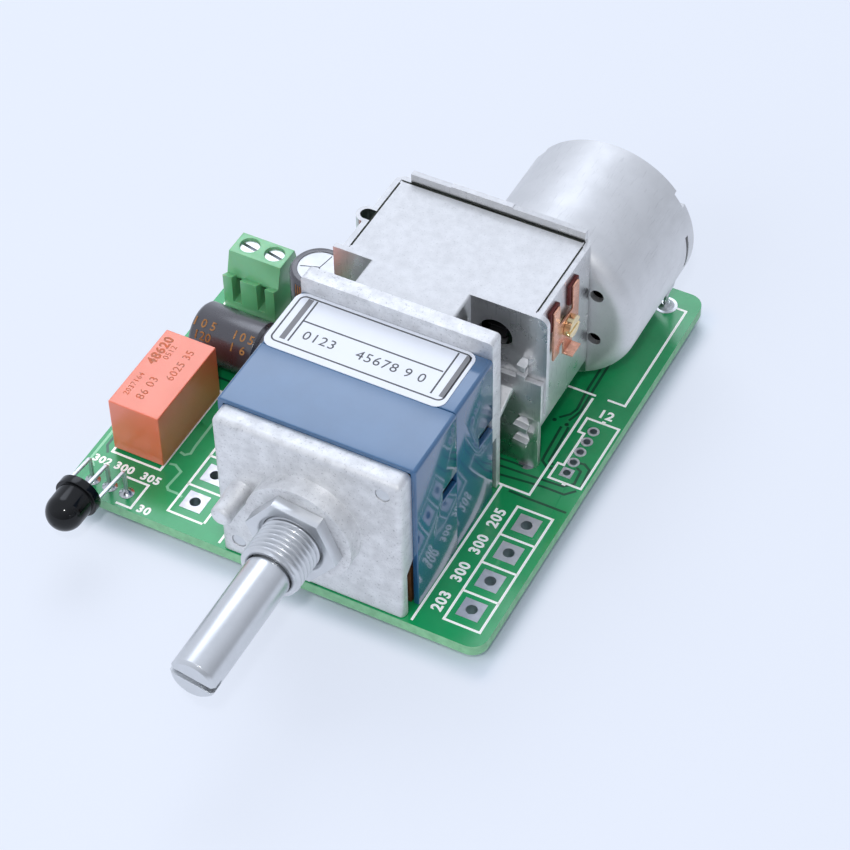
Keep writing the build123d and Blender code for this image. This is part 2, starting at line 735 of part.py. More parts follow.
# The frame is folded round the back: a web with two side walls, the left one embossed with a rib
with BuildPart() as gearbox_frame:
    side_front = gearbox_front + sheet + running_gap
    wall_top = cover_top - running_gap
    with BuildSketch(Plane.XY.offset(wall_top)) as plan:
        rectangle((gearbox_left, gearbox_right), (side_front, gearbox_back + sheet))
        fillet(plan.vertices().group_by(Axis.Y)[-1], bend + sheet)
        rectangle((gearbox_left + sheet, gearbox_right - sheet), (side_front - 1, gearbox_back), Mode.SUBTRACT)
    extrude(amount=web_bottom - wall_top)
    block((gearbox_left - 1, gearbox_right + 1), (side_front - 1, gearbox_back), (0, side_bottom), Mode.SUBTRACT)
    with BuildSketch(facing_front(gearbox_back + sheet)):
        rectangle((gearbox_left + web_lip_left, gearbox_right - web_lip_right), (wall_top - 1, cover_top + web_lip))
        bead = gearbox_left + web_bead_start
        rectangle((bead, bead + web_bead_length), (cover_top, cover_top + web_lip + web_bead_height))
    extrude(amount=sheet)
    with BuildSketch(Plane.XY.offset(wall_top)):
        with Locations((gearbox_left, cross_y + lid_gap)):
            Circle(rib_radius)
        rectangle((gearbox_left, gearbox_left + through), about(cross_y, through), Mode.SUBTRACT)
    extrude(amount=rib_bottom - wall_top)
    hollow = (rib_bottom - 1, cover_top + 1)
    bar_z(gearbox_left, cross_y + lid_gap, rib_inner_radius, hollow, Mode.SUBTRACT)
    block((gearbox_left, lid_left), about(cross_y + lid_gap, rib_inner_radius), hollow, Mode.SUBTRACT)
    bar_y(motor_x, motor_z, can_spigot_radius + spigot_clearance, (gearbox_back - 1, motor_front + 1), Mode.SUBTRACT)
    for side in (-1, 1):
        bar_y(motor_x, motor_z + side * motor_screw_spread, motor_screw_radius + running_gap,
              (gearbox_back - 1, motor_front + 1), Mode.SUBTRACT)
    bar_x(cross_y, cross_z, thin_shaft_radius + running_gap, about(gearbox_left, through), Mode.SUBTRACT)
    bar_x(cross_y, cross_z, thin_shaft_radius + running_gap, about(gearbox_right, through), Mode.SUBTRACT)

# The bracket laps over the cover's flange, steps back and ends in two legs with tabs through the board
with BuildPart() as leg_bracket:
    bracket_left = gearbox_left + leg_left_inset
    bracket_right = gearbox_right + leg_right_overhang
    leg_right = gearbox_right + leg_left_inset
    knee = lap_bottom - sheet
    with BuildSketch(facing_right(bracket_left)):
        with BuildLine():
            Polyline((gearbox_front - sheet, lap_top), (gearbox_front, lap_top), (gearbox_front, lap_bottom),
                     (gearbox_front + sheet, lap_bottom), (gearbox_front + sheet, leg_foot), (gearbox_front, leg_foot),
                     (gearbox_front, knee), (gearbox_front - sheet, knee), close=True)
        make_face()
    extrude(amount=bracket_right - bracket_left)
    between = (bracket_left + left_leg_width, leg_right - right_leg_width)
    block(between, about(gearbox_front, through), (0, knee), Mode.SUBTRACT)
    block((leg_right, bracket_right + 1), about(gearbox_front, through), (0, knee), Mode.SUBTRACT)
    with BuildSketch(facing_front(gearbox_front + sheet)):
        for x, _ in tab_places:
            rectangle(about(x, tab_half_width + tab_shoulder), (0, leg_foot))
            rectangle(about(x, tab_half_width), (tip, 0))
    extrude(amount=sheet)
    strut_x = axis_x + neck_half_width + sheet
    with BuildSketch(facing_right(strut_x)):
        with BuildLine():
            rise = axis_height + strut_top
            Polyline((gearbox_front - sheet, rise - strut_height), (gearbox_front - sheet, rise),
                     (neck_front, rise - strut_fall), (neck_front, rise - strut_fall - strut_height), close=True)
        make_face()
    extrude(amount=strut_width)
    bar_y(axis_x, axis_height, shaft_room, about(gearbox_front, through), Mode.SUBTRACT)
    block(lug_slot, about(gearbox_front, through), lower_lug, Mode.SUBTRACT)

# Each tongue of the inner bracket is split where it comes out, and both halves are twisted
with BuildPart() as inner_bracket:
    with BuildSketch(facing_right(wing_x)):
        rectangle((gearbox_front + sheet + running_gap, gearbox_back - lid_back_gap),
                  (bracket_bottom, cross_z + bracket_above_shaft))
        for low, high in (upper_lug, lower_lug):
            rectangle((gearbox_front, gearbox_front + 2 * sheet), (low + lug_slot_gap, high - lug_slot_gap))
    extrude(amount=sheet)
    for low, high in (upper_lug, lower_lug):
        ear = lug_share * (high - low)
        for z in (low + ear / 2 + lug_slot_gap, high - ear / 2 - lug_slot_gap):
            centre = (wing_x + sheet / 2, z)
            with BuildSketch(facing_front(gearbox_front)):
                with Locations(centre):
                    Rectangle(sheet, ear)
            with BuildSketch(facing_front(gearbox_front - lug_twist_length)):
                with Locations(centre):
                    Rectangle(sheet, ear, rotation=lug_twist)
            loft()
            with BuildSketch(facing_front(gearbox_front - lug_twist_length)):
                with Locations(centre):
                    Rectangle(sheet, ear, rotation=lug_twist)
            extrude(amount=lug_reach_out - lug_twist_length)
    bar_x(cross_y, cross_z, thin_shaft_radius + running_gap, about(wing_x, through), Mode.SUBTRACT)


def wheel(plane, centre, teeth, bore, thickness):
    """A straight-toothed worm wheel: a disc with one tapered tooth, sized in modules, repeated round it."""
    root = gear_module * (teeth / 2 - tooth_depth)
    with BuildPart() as gear:
        with BuildSketch(plane):
            with Locations(centre):
                Circle(root)
                with PolarLocations(root - gear_module / 4, teeth):
                    Trapezoid(tooth_width * gear_module, tooth_height * gear_module, tooth_flank, rotation=-90,
                              align=(Align.CENTER, Align.MIN))
                Circle(bore, mode=Mode.SUBTRACT)
        extrude(amount=thickness)
    return gear


# Worm drive and slip clutch
wheel_front, wheel_back = about(cross_y, wheel_thickness / 2)
hub_radius = inner_shaft_radius + clutch_sleeve
output_wheel = wheel(facing_front(wheel_back), (axis_x, axis_height), output_wheel_teeth, hub_radius + running_gap,
                     wheel_thickness)
cross_wheel = wheel(facing_right(motor_x - cross_wheel_thickness / 2), (cross_y, cross_z), cross_wheel_teeth,
                    thin_shaft_radius, cross_wheel_thickness)

with BuildPart() as clutch_hub:
    flange_front = wheel_front - clutch_flange_thickness
    nut_front = wheel_back + clutch_front - wiper_finger / 2
    turned_y(axis_x, axis_height, [
        (inner_shaft_radius, wheel_front - clutch_front), (hub_radius, wheel_front - clutch_front),
        (hub_radius, flange_front), (clutch_flange_radius, flange_front), (clutch_flange_radius, wheel_front),
        (hub_radius, wheel_front), (hub_radius, nut_front), (clutch_nut_radius, nut_front),
        (clutch_nut_radius, nut_front + clutch_nut_thickness), (hub_radius, nut_front + clutch_nut_thickness),
        (hub_radius, wheel_back + clutch_back), (inner_shaft_radius, wheel_back + clutch_back)])

with BuildPart() as clutch_spring:
    spring_inner = hub_radius + running_gap
    turned_y(axis_x, axis_height, [
        (spring_inner, wheel_back + clutch_spring_rise), (clutch_flange_radius, wheel_back),
        (clutch_flange_radius, wheel_back + clutch_spring_thickness),
        (spring_inner, wheel_back + clutch_spring_rise + clutch_spring_thickness)])

with BuildPart() as cross_shaft:
    bar_x(cross_y, cross_z, thin_shaft_radius, (gearbox_left, gearbox_right - adjuster_reach - running_gap))
    bar_x(cross_y, cross_z, cross_worm_radius, about(axis_x, cross_worm_length / 2))

with BuildPart() as motor_worm:
    worm_front, worm_back = about(cross_y, motor_worm_length / 2)
    turned_y(motor_x, motor_z, [
        (thin_shaft_radius, worm_front), (motor_worm_radius, worm_front), (motor_worm_radius, worm_back),
        (thin_shaft_radius, worm_back)])

# End-play adjuster: two sprung blades on a bridge, with a lip below
strip = gearbox_right + pad_thickness
front_blade = (cross_y - tongue_width - blade_width, cross_y - tongue_width)
rear_blade = (front_blade[1] + blade_gap, front_blade[1] + blade_gap + blade_width)
tongue = about(cross_y, tongue_width / 2)
with BuildPart() as leaf_springs:
    with BuildSketch(facing_right(strip)) as strip_outline:
        rectangle(front_blade, (cross_z - front_blade_bottom, cross_z + front_blade_top))
        rectangle(rear_blade, (cross_z - rear_blade_bottom, cross_z + rear_blade_top))
        rectangle((front_blade[0], rear_blade[1]), about(cross_z, bridge_half_height))
        rectangle(tongue, (cross_z - tongue_bottom, cross_z))
        fillet(strip_outline.vertices().group_by(Axis.Y)[-1], strip_thickness)
        with Locations((cross_y, cross_z)):
            Circle(adjuster_radius, mode=Mode.SUBTRACT)
    extrude(amount=strip_thickness)
    block((strip, strip + tongue_lip), tongue, (cross_z - tongue_bottom - strip_thickness, cross_z - tongue_bottom))

with BuildPart() as fibre_pads:
    with BuildSketch(facing_right(gearbox_right)):
        for low, high in (front_blade, rear_blade):
            with Locations(((low + high) / 2, cross_z + (fibre_bottom + fibre_top) / 2)):
                RectangleRounded(fibre_width, fibre_top - fibre_bottom, strip_thickness)
    extrude(amount=pad_thickness)

with BuildPart() as adjusting_screw:
    head = strip + strip_thickness
    with BuildSketch(Plane.XY.offset(cross_z)):
        rectangle((gearbox_right - adjuster_reach, head), (cross_y, cross_y + adjuster_radius))
        rectangle((head, head + adjuster_head_height), (cross_y, cross_y + adjuster_head))
    revolve(axis=Axis((0, cross_y, cross_z), (1, 0, 0)))
    slot_floor = head + adjuster_head_height - adjuster_slot_depth
    block((slot_floor, slot_floor + 1), about(cross_y, 2), about(cross_z, adjuster_slot / 2), Mode.SUBTRACT)

# Motor
shaft_bore = thin_shaft_radius + running_gap
can_inner = motor_radius - can_wall
can_floor = motor_front + can_front_wall
with BuildPart() as motor_can:
    with BuildSketch(Plane.XY.offset(motor_z)) as can_wall_section:
        with BuildLine():
            spigot = motor_front - can_spigot_length
            Polyline((motor_x + shaft_bore, spigot), (motor_x + can_spigot_radius, spigot),
                     (motor_x + can_spigot_radius, motor_front), (motor_x + motor_radius, motor_front),
                     (motor_x + motor_radius, motor_back), (motor_x + can_inner, motor_back),
                     (motor_x + can_inner, can_floor), (motor_x + shaft_bore, can_floor), close=True)
        make_face()
        corners = can_wall_section.vertices()
        fillet(corners.sort_by_distance((motor_x + motor_radius, motor_front))[0], can_shoulder)
        fillet(corners.sort_by_distance((motor_x + can_inner, can_floor))[0], can_shoulder - can_wall)
    revolve(axis=Axis((motor_x, 0, motor_z), (0, 1, 0)))
    with BuildSketch(facing_front(can_floor + 1)):
        with Locations([(motor_x + x, motor_z + z) for x, z in vents]):
            Circle(vent_radius)
        with Locations([(motor_x, motor_z + side * motor_screw_spread) for side in (-1, 1)]):
            Circle(motor_screw_radius)
    extrude(amount=can_front_wall + 2, mode=Mode.SUBTRACT)
    bar_y(motor_x + dimple_place[0], motor_z + dimple_place[1], dimple_radius,
          (motor_front - 1, motor_front + dimple_depth), Mode.SUBTRACT)
    slot_back = motor_back - side_slot_from_back
    for side in (-1, 1):
        block(about(motor_x + side * motor_radius, 2 * can_wall), (slot_back - side_slot_width, slot_back),
              about(motor_z, side_slot_height / 2), Mode.SUBTRACT)
    for angle in crimp_angles:
        x = motor_x + motor_radius * math.cos(math.radians(angle))
        z = motor_z + motor_radius * math.sin(math.radians(angle))
        block(about(x, crimp_size / 2), (motor_back - crimp_depth, motor_back + 1), about(z, crimp_size / 2),
              Mode.SUBTRACT)

with BuildPart() as motor_end_cap:
    cap_back = motor_back - end_cap_sink
    cap_front = cap_back - end_cap_thickness
    boss_back = cap_back + end_cap_boss_length + end_cap_sink
    turned_y(motor_x, motor_z, [
        (shaft_bore, cap_front), (can_inner, cap_front), (can_inner, cap_back), (end_cap_boss_radius, cap_back),
        (end_cap_boss_radius, boss_back), (0, boss_back), (0, boss_back - end_cap_bore_floor),
        (shaft_bore, boss_back - end_cap_bore_floor)])
    for side in (-1, 1):
        block(about(motor_x + side * blade_spread, blade_half_width), (cap_front - 1, cap_back + 1),
              about(motor_z - blade_drop, blade_half_thickness), Mode.SUBTRACT)

with BuildPart() as motor_magnets:
    with BuildSketch(facing_front(motor_back - magnet_back_gap)):
        with Locations((motor_x, motor_z)):
            Circle(can_inner)
            Circle(can_inner - magnet_thickness, mode=Mode.SUBTRACT)
            Rectangle(magnet_gap, 4 * motor_radius, mode=Mode.SUBTRACT)
    extrude(amount=motor_length - magnet_front_gap - magnet_back_gap)

with BuildPart() as rotor_core:
    core_radius = can_inner - magnet_thickness - air_gap
    core_back = motor_back - core_back_gap
    with BuildSketch(facing_front(core_back)):
        with Locations((motor_x, motor_z)):
            Circle(core_radius)
            Circle(thin_shaft_radius, mode=Mode.SUBTRACT)
            with PolarLocations(core_radius - core_slot_depth / 2, 3, start_angle=30):
                Rectangle(core_slot_depth + running_gap, core_slot_width, mode=Mode.SUBTRACT)
    extrude(amount=motor_length - core_front_gap - core_back_gap)
    turned_y(motor_x, motor_z, [
        (thin_shaft_radius, core_back), (commutator_radius, core_back), (commutator_radius, motor_back - commutator_back_gap),
        (thin_shaft_radius, motor_back - commutator_back_gap)])

with BuildPart() as motor_shaft:
    bar_y(motor_x, motor_z, thin_shaft_radius, (cross_y - motor_shaft_front, motor_back + motor_shaft_back))

with BuildPart() as motor_screws:
    for side in (-1, 1):
        z = motor_z + side * motor_screw_spread
        head_front = gearbox_back - motor_screw_head_height
        thread_end = can_floor + motor_screw_reach - running_gap
        turned_y(motor_x, z, [
            (0, head_front), (motor_screw_head, head_front), (motor_screw_head, gearbox_back),
            (motor_screw_radius, gearbox_back), (motor_screw_radius, thread_end), (0, thread_end)])
        block(about(motor_x, motor_screw_head + 1), (head_front - 1, head_front + motor_screw_slot_depth),
              about(z, motor_screw_slot / 2), Mode.SUBTRACT)

# Stiff wires from the board, round the back of the motor, to its terminal blades
with BuildPart() as motor_leads:
    for side, (x, y) in zip((-1, 1), motor_places):
        blade_x, blade_z = motor_x + side * blade_spread, motor_z - blade_drop
        wire_y = motor_back + lead_behind_motor
        wire_z = blade_z - blade_half_thickness - lead_radius + 2 * running_gap
        with BuildLine() as route:
            FilletPolyline((x, y, tip), (x, y, lead_height), (x, wire_y, lead_height), (x, wire_y, wire_z),
                           (blade_x, wire_y, wire_z), radius=lead_bend)
        with BuildSketch(Plane(origin=route.line @ 0, z_dir=route.line % 0)):
            Circle(lead_radius)
        sweep(path=route.line)
        block(about(blade_x, blade_half_width), (motor_back - end_cap_thickness - end_cap_sink, motor_back + blade_length),
              about(blade_z, blade_half_thickness))

# Relay
relay_back, relay_right = relay_y + relay_length, relay_x + relay_width
relay_top = relay_lift + relay_height
relay_fit = relay_wall + running_gap
with BuildPart() as relay_case:
    block((relay_x, relay_right), (relay_y, relay_back), (relay_lift, relay_top))
    fillet(relay_case.edges(), relay_edge)
    block((relay_x + relay_wall, relay_right - relay_wall), (relay_y + relay_wall, relay_back - relay_wall),
          (-1, relay_top - relay_wall), Mode.SUBTRACT)

with BuildPart() as relay_base:
    with BuildSketch(Plane.XY.offset(relay_lift)):
        rectangle((relay_x + relay_fit, relay_right - relay_fit), (relay_y + relay_fit, relay_back - relay_fit))
        with Locations(relay_places):
            Rectangle(thin_lead, thin_lead, mode=Mode.SUBTRACT)
    extrude(amount=relay_base_thickness)
    with BuildSketch():
        with Locations([(relay_middle[0] + i * relay_foot_x, relay_middle[1] + j * relay_foot_y)
                        for i in (-1, 1) for j in (-1, 1)]):
            Rectangle(relay_foot, relay_foot)
    extrude(amount=relay_lift)

with BuildPart() as relay_pins:
    with BuildSketch(Plane.XY.offset(trimmed_tip)):
        with Locations(relay_places):
            Rectangle(thin_lead, thin_lead)
    extrude(amount=relay_lift + relay_base_thickness + relay_pin_rise - trimmed_tip)

with BuildPart() as relay_coil:
    coil_front = relay_y + relay_wall + coil_front_gap
    coil_back = coil_front + coil_length
    bar_y(relay_middle[0], coil_height, coil_radius, (coil_front, coil_back))
    for y in (coil_front, coil_back - bobbin_flange):
        block(about(relay_middle[0], bobbin_half_width), (y, y + bobbin_flange), about(coil_height, bobbin_half_width))
    block(about(relay_middle[0], armature_half_width), (coil_back, coil_back + armature_thickness),
          (relay_lift + relay_base_thickness, coil_height + armature_rise))

# Screw terminal
screw_y = terminal_y + screw_from_front
cage_span = (terminal_y + cage_front, terminal_y + cage_front + cage_length)
screw_seat = terminal_height - screw_sink
with BuildPart() as terminal_housing:
    with BuildSketch(facing_right(terminal_x)):
        with BuildLine():
            Polyline((terminal_y, 0), (terminal_y + terminal_foot_depth, 0),
                     (terminal_y + terminal_foot_depth, terminal_back_edge),
                     (terminal_y + terminal_head_depth, terminal_height), (terminal_y + terminal_brow, terminal_height),
                     (terminal_y + terminal_step, terminal_brow_height), (terminal_y, terminal_step_height), close=True)
        make_face()
    extrude(amount=terminal_width)
    for x in pole_x:
        bar_z(x, screw_y, screw_head + screw_head_gap, (screw_seat - screw_head_gap, terminal_height + 1), Mode.SUBTRACT)
        bar_z(x, screw_y, screw_radius + screw_shank_gap, (cage_room_top - 1, screw_seat), Mode.SUBTRACT)
        block(about(x, cage_half_width + cage_room), (cage_span[0] - cage_room, terminal_y + terminal_foot_depth + 1),
              (cage_room_bottom, cage_room_top), Mode.SUBTRACT)
        block(about(x, entry_half_width), (terminal_y - 1, cage_span[0]), (entry_bottom, entry_top), Mode.SUBTRACT)
        block(about(x, entry_half_width), (terminal_y - 1, terminal_y + terminal_step),
              (entry_bottom, terminal_step_height + 1), Mode.SUBTRACT)
        block(about(x, terminal_lead_half_width), about(terminal_y + terminal_lead_y, terminal_lead_half_depth),
              (-1, cage_room_bottom + 1), Mode.SUBTRACT)


def cage(x):
    """The rising cage of one pole: a square tube, open to the front and back, tapped in its roof."""
    with BuildPart() as clamp:
        with BuildSketch(facing_front(cage_span[1])):
            rectangle(about(x, cage_half_width), (cage_bottom, cage_bottom + cage_height))
            rectangle(about(x, cage_half_width - cage_wall),
                      (cage_bottom + cage_floor, cage_bottom + cage_height - cage_roof), Mode.SUBTRACT)
        extrude(amount=cage_length)
        bar_z(x, screw_y, screw_radius + running_gap, (anvil_bottom, cage_room_top), Mode.SUBTRACT)
    return clamp


def clamp_screw(x):
    """The slotted screw of one pole."""
    with BuildPart() as screw:
        bar_z(x, screw_y, screw_head, (screw_seat, screw_seat + screw_head_height))
        bar_z(x, screw_y, screw_radius, (screw_bottom, screw_seat))
        with Locations(Location((x, screw_y, screw_seat + screw_head_height), (0, 0, screw_slot_turn))):
            Box(3 * screw_head, screw_slot, 2 * screw_slot_depth, mode=Mode.SUBTRACT)
    return screw


terminal_cage_left, terminal_cage_right = cage(pole_x[0]), cage(pole_x[1])
terminal_screw_left, terminal_screw_right = clamp_screw(pole_x[0]), clamp_screw(pole_x[1])

with BuildPart() as terminal_pins:
    for x, y in terminal_places:
        lead_front = y - terminal_lead_half_depth
        block(about(x, anvil_half_width), (lead_front, cage_span[1] - 2 * running_gap),
              (anvil_bottom, anvil_bottom + anvil_thickness))
        block(about(x, terminal_lead_half_width), about(y, terminal_lead_half_depth), (trimmed_tip, anvil_bottom))

# Electrolytic capacitors, drawn standing with the closed end at the origin and the base below
can_radius = capacitor_radius - sleeve_thickness
base = -capacitor_length
groove = base + crimp_from_base
bung_radius = can_radius - rim - bung_sink
bung_foot = base + bung_sink
with BuildPart() as can_shape:
    with BuildSketch(Plane.XZ):
        with BuildLine():
            Polyline((0, -running_gap), (can_radius - rim, -running_gap), (can_radius, -rim - running_gap),
                     (can_radius, groove + crimp_half_width), (can_radius - crimp_depth_in, groove),
                     (can_radius, groove - crimp_half_width), (can_radius, base + sleeve_thickness),
                     (bung_radius, bung_foot), (bung_radius, bung_foot + bung_thickness),
                     (0, bung_foot + bung_thickness), close=True)
        make_face()
    revolve(axis=Axis.Z)
with BuildPart() as sleeve_shape:
    with BuildSketch(Plane.XZ):
        with BuildLine():
            Polyline((can_radius - sleeve_lip, -running_gap), (can_radius - rim, -running_gap),
                     (can_radius, -rim - running_gap), (can_radius, groove + crimp_half_width),
                     (can_radius - crimp_depth_in, groove), (can_radius, groove - crimp_half_width), (can_radius, base),
                     (capacitor_radius, base), (capacitor_radius, groove - crimp_half_width + running_gap),
                     (capacitor_radius - crimp_depth_in, groove),
                     (capacitor_radius, groove + crimp_half_width - running_gap),
                     (capacitor_radius, -rim - running_gap), (capacitor_radius - rim, running_gap),
                     (can_radius - sleeve_lip, running_gap), close=True)
        make_face()
    revolve(axis=Axis.Z)
with BuildPart() as bung_shape:
    with BuildSketch(Plane.XY.offset(bung_foot)):
        Circle(bung_radius)
        with Locations((-capacitor_lead_spread, 0), (capacitor_lead_spread, 0)):
            Rectangle(capacitor_lead, capacitor_lead, mode=Mode.SUBTRACT)
    extrude(amount=bung_thickness)

lying = Pos(lying_x, lying_y, capacitor_radius) * Rot(0, -90, 0) * Rot(0, 0, 90)
upright = Pos(upright_x, upright_y, capacitor_length + base_gap)
with BuildPart() as capacitor_cans:
    add(lying * can_shape.part)
    add(upright * can_shape.part)
with BuildPart() as capacitor_sleeves:
    add(lying * sleeve_shape.part)
    add(upright * sleeve_shape.part)
with BuildPart() as capacitor_bungs:
    add(lying * bung_shape.part)
    add(upright * bung_shape.part)
with BuildPart() as capacitor_leads:
    half = capacitor_lead / 2
    inside = bung_thickness + bung_sink
    for x, y in capacitor_places[:2]:
        with BuildSketch(facing_front(y + half)) as bent:
            rectangle((lying_x + capacitor_length - inside, x + half), about(capacitor_radius, half))
            rectangle(about(x, half), (trimmed_tip, capacitor_radius + half))
            fillet(bent.vertices().sort_by_distance((x + half, capacitor_radius + half))[0], half)
        extrude(amount=capacitor_lead)
    for x, y in capacitor_places[2:]:
        block(about(x, half), about(y, half), (trimmed_tip, base_gap + inside))

# Infrared sensor
sensor_back = -sensor_stand_off
sensor_neck = sensor_back - sensor_collar_thickness
sensor_shoulder = sensor_neck - sensor_barrel
with BuildPart() as ir_receiver:
    with BuildSketch(Plane.XY.offset(sensor_height)):
        with BuildLine():
            Polyline((sensor_x, sensor_back), (sensor_x + sensor_collar, sensor_back),
                     (sensor_x + sensor_collar, sensor_neck), (sensor_x + sensor_radius, sensor_neck),
                     (sensor_x + sensor_radius, sensor_shoulder))
            JernArc((sensor_x + sensor_radius, sensor_shoulder), (0, -1), sensor_radius, -90)
            Line((sensor_x, sensor_shoulder - sensor_radius), (sensor_x, sensor_back))
        make_face()
    revolve(axis=Axis((sensor_x, 0, sensor_height), (0, 1, 0)))
    for x, _ in sensor_places:
        block(about(x, sensor_lead_width / 2), (sensor_back - sensor_lead_sink, 0),
              about(sensor_height, sensor_lead_thickness / 2), Mode.SUBTRACT)

with BuildPart() as ir_leads:
    half = sensor_lead_thickness / 2
    back, front = sensor_pin_y + half, sensor_back - sensor_lead_sink
    bend_height = sensor_height - sensor_lead_rise
    for x, y in sensor_places:
        with BuildSketch(facing_right(x - sensor_lead_width / 2)) as bent:
            with BuildLine():
                Polyline((front, sensor_height - half), (sensor_back, sensor_height - half),
                         (y - half, bend_height - half), (y - half, tip), (back, tip), (back, bend_height + half),
                         (sensor_back, sensor_height + half), (front, sensor_height + half), close=True)
            make_face()
            fillet(bent.vertices().sort_by_distance((back, bend_height + half))[0], sensor_lead_bend)
        extrude(amount=sensor_lead_width)

pieces = {
    "circuit_board": circuit_board,
    "input_pads": input_pads,
    "output_pads": output_pads,
    "connector_pads": connector_pads,
    "motor_pads": motor_pads,
    "solder_joints": solder_joints,
    "control_chip": control_chip,
    "front_plate": front_plate,
    "bushing": bushing,
    "panel_nut": panel_nut,
    "pot_shaft": pot_shaft,
    "front_case": front_case,
    "rear_case": rear_case,
    "label": label,
    "front_wafer": front_wafer,
    "rear_wafer": rear_wafer,
    "pot_terminals": pot_terminals,
    "front_rotor": front_rotor,
    "rear_rotor": rear_rotor,
    "wiper_springs": wiper_springs,
    "rear_plate": rear_plate,
    "tie_rivets": tie_rivets,
    "gearbox_cover": gearbox_cover,
    "gearbox_frame": gearbox_frame,
    "leg_bracket": leg_bracket,
    "inner_bracket": inner_bracket,
    "output_wheel": output_wheel,
    "clutch_hub": clutch_hub,
    "clutch_spring": clutch_spring,
    "cross_shaft": cross_shaft,
    "cross_wheel": cross_wheel,
    "motor_worm": motor_worm,
    "leaf_springs": leaf_springs,
    "fibre_pads": fibre_pads,
    "adjusting_screw": adjusting_screw,
    "motor_can": motor_can,
    "motor_end_cap": motor_end_cap,
    "motor_magnets": motor_magnets,
    "rotor_core": rotor_core,
    "motor_shaft": motor_shaft,
    "motor_screws": motor_screws,
    "motor_leads": motor_leads,
    "relay_case": relay_case,
    "relay_base": relay_base,
    "relay_pins": relay_pins,
    "relay_coil": relay_coil,
    "terminal_housing": terminal_housing,
    "terminal_screw_left": terminal_screw_left,
    "terminal_screw_right": terminal_screw_right,
    "terminal_cage_left": terminal_cage_left,
    "terminal_cage_right": terminal_cage_right,
    "terminal_pins": terminal_pins,
    "capacitor_cans": capacitor_cans,
    "capacitor_sleeves": capacitor_sleeves,
    "capacitor_bungs": capacitor_bungs,
    "capacitor_leads": capacitor_leads,
    "ir_receiver": ir_receiver,
    "ir_leads": ir_leads,
}
to_frame = Pos(-board_width / 2, -(board_length - shaft_overhang) / 2, -tip)
os.makedirs("parts", exist_ok=True)
for name, piece in pieces.items():
    placed = to_frame * piece.part
    placed.label = name
    export_step(placed, f"parts/{name}.step")
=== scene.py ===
"""Looks of a motorised volume control board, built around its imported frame.

Board millimetres run from the board's left edge, front edge and top face; spot() turns them into metres.
"""
import math

import bmesh
import bpy
from bpy.props import FloatProperty, FloatVectorProperty, PointerProperty
from mathutils import Matrix, Vector


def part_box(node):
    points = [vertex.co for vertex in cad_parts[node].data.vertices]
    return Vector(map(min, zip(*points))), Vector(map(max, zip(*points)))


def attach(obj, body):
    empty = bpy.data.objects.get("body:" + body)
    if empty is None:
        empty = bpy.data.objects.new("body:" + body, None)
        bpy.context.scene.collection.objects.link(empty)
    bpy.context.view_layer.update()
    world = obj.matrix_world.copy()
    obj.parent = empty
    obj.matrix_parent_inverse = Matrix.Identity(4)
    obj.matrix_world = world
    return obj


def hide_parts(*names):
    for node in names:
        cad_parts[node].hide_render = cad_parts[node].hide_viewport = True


bl_info = {
    "name": "Volume control board looks",
    "version": (1, 0, 0),
    "blender": (4, 5, 0),
    "location": "3D View > Sidebar > Board",
    "description": "Finishes, print, threads and studio for a motorised volume control board",
    "category": "Object",
}

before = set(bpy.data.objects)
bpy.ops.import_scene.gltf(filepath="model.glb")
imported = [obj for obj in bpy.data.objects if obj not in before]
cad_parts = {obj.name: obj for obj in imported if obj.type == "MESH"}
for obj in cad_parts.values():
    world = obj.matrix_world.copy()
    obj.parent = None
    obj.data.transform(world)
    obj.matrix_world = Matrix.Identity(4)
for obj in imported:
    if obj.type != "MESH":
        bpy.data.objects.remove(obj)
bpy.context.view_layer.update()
MM = 0.001
BOARD_LOW, BOARD_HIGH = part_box("circuit_board")
ALONG_X = Vector((1, 0, 0))
ALONG_Y = Vector((0, 1, 0))
UP = Vector((0, 0, 1))
# Faces whose normal rises by less than this stand upright
UPRIGHT = 0.3


def spot(x, y, z=0.0):
    """A place given in board millimetres, in frame metres."""
    return Vector((BOARD_LOW.x + x * MM, BOARD_LOW.y + y * MM, BOARD_HIGH.z + z * MM))


def board_box(node):
    """A node's lowest and highest corners in board millimetres."""
    origin = Vector((BOARD_LOW.x, BOARD_LOW.y, BOARD_HIGH.z))
    return [(corner - origin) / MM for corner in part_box(node)]


def linear(code):
    """An sRGB hex code as linear red, green and blue."""
    parts = [int(code[i:i + 2], 16) / 255 for i in (0, 2, 4)]
    return [part / 12.92 if part <= 0.04045 else ((part + 0.055) / 1.055) ** 2.4 for part in parts]


def tint(name, code, what):
    return FloatVectorProperty(name=name, description=what, size=3, min=0.0, max=1.0, default=linear(code),
                               subtype="COLOR")


def length(name, millimetres, what):
    return FloatProperty(name=name, description=what, default=millimetres * MM, min=0.0, precision=5,
                         subtype="DISTANCE", unit="LENGTH")


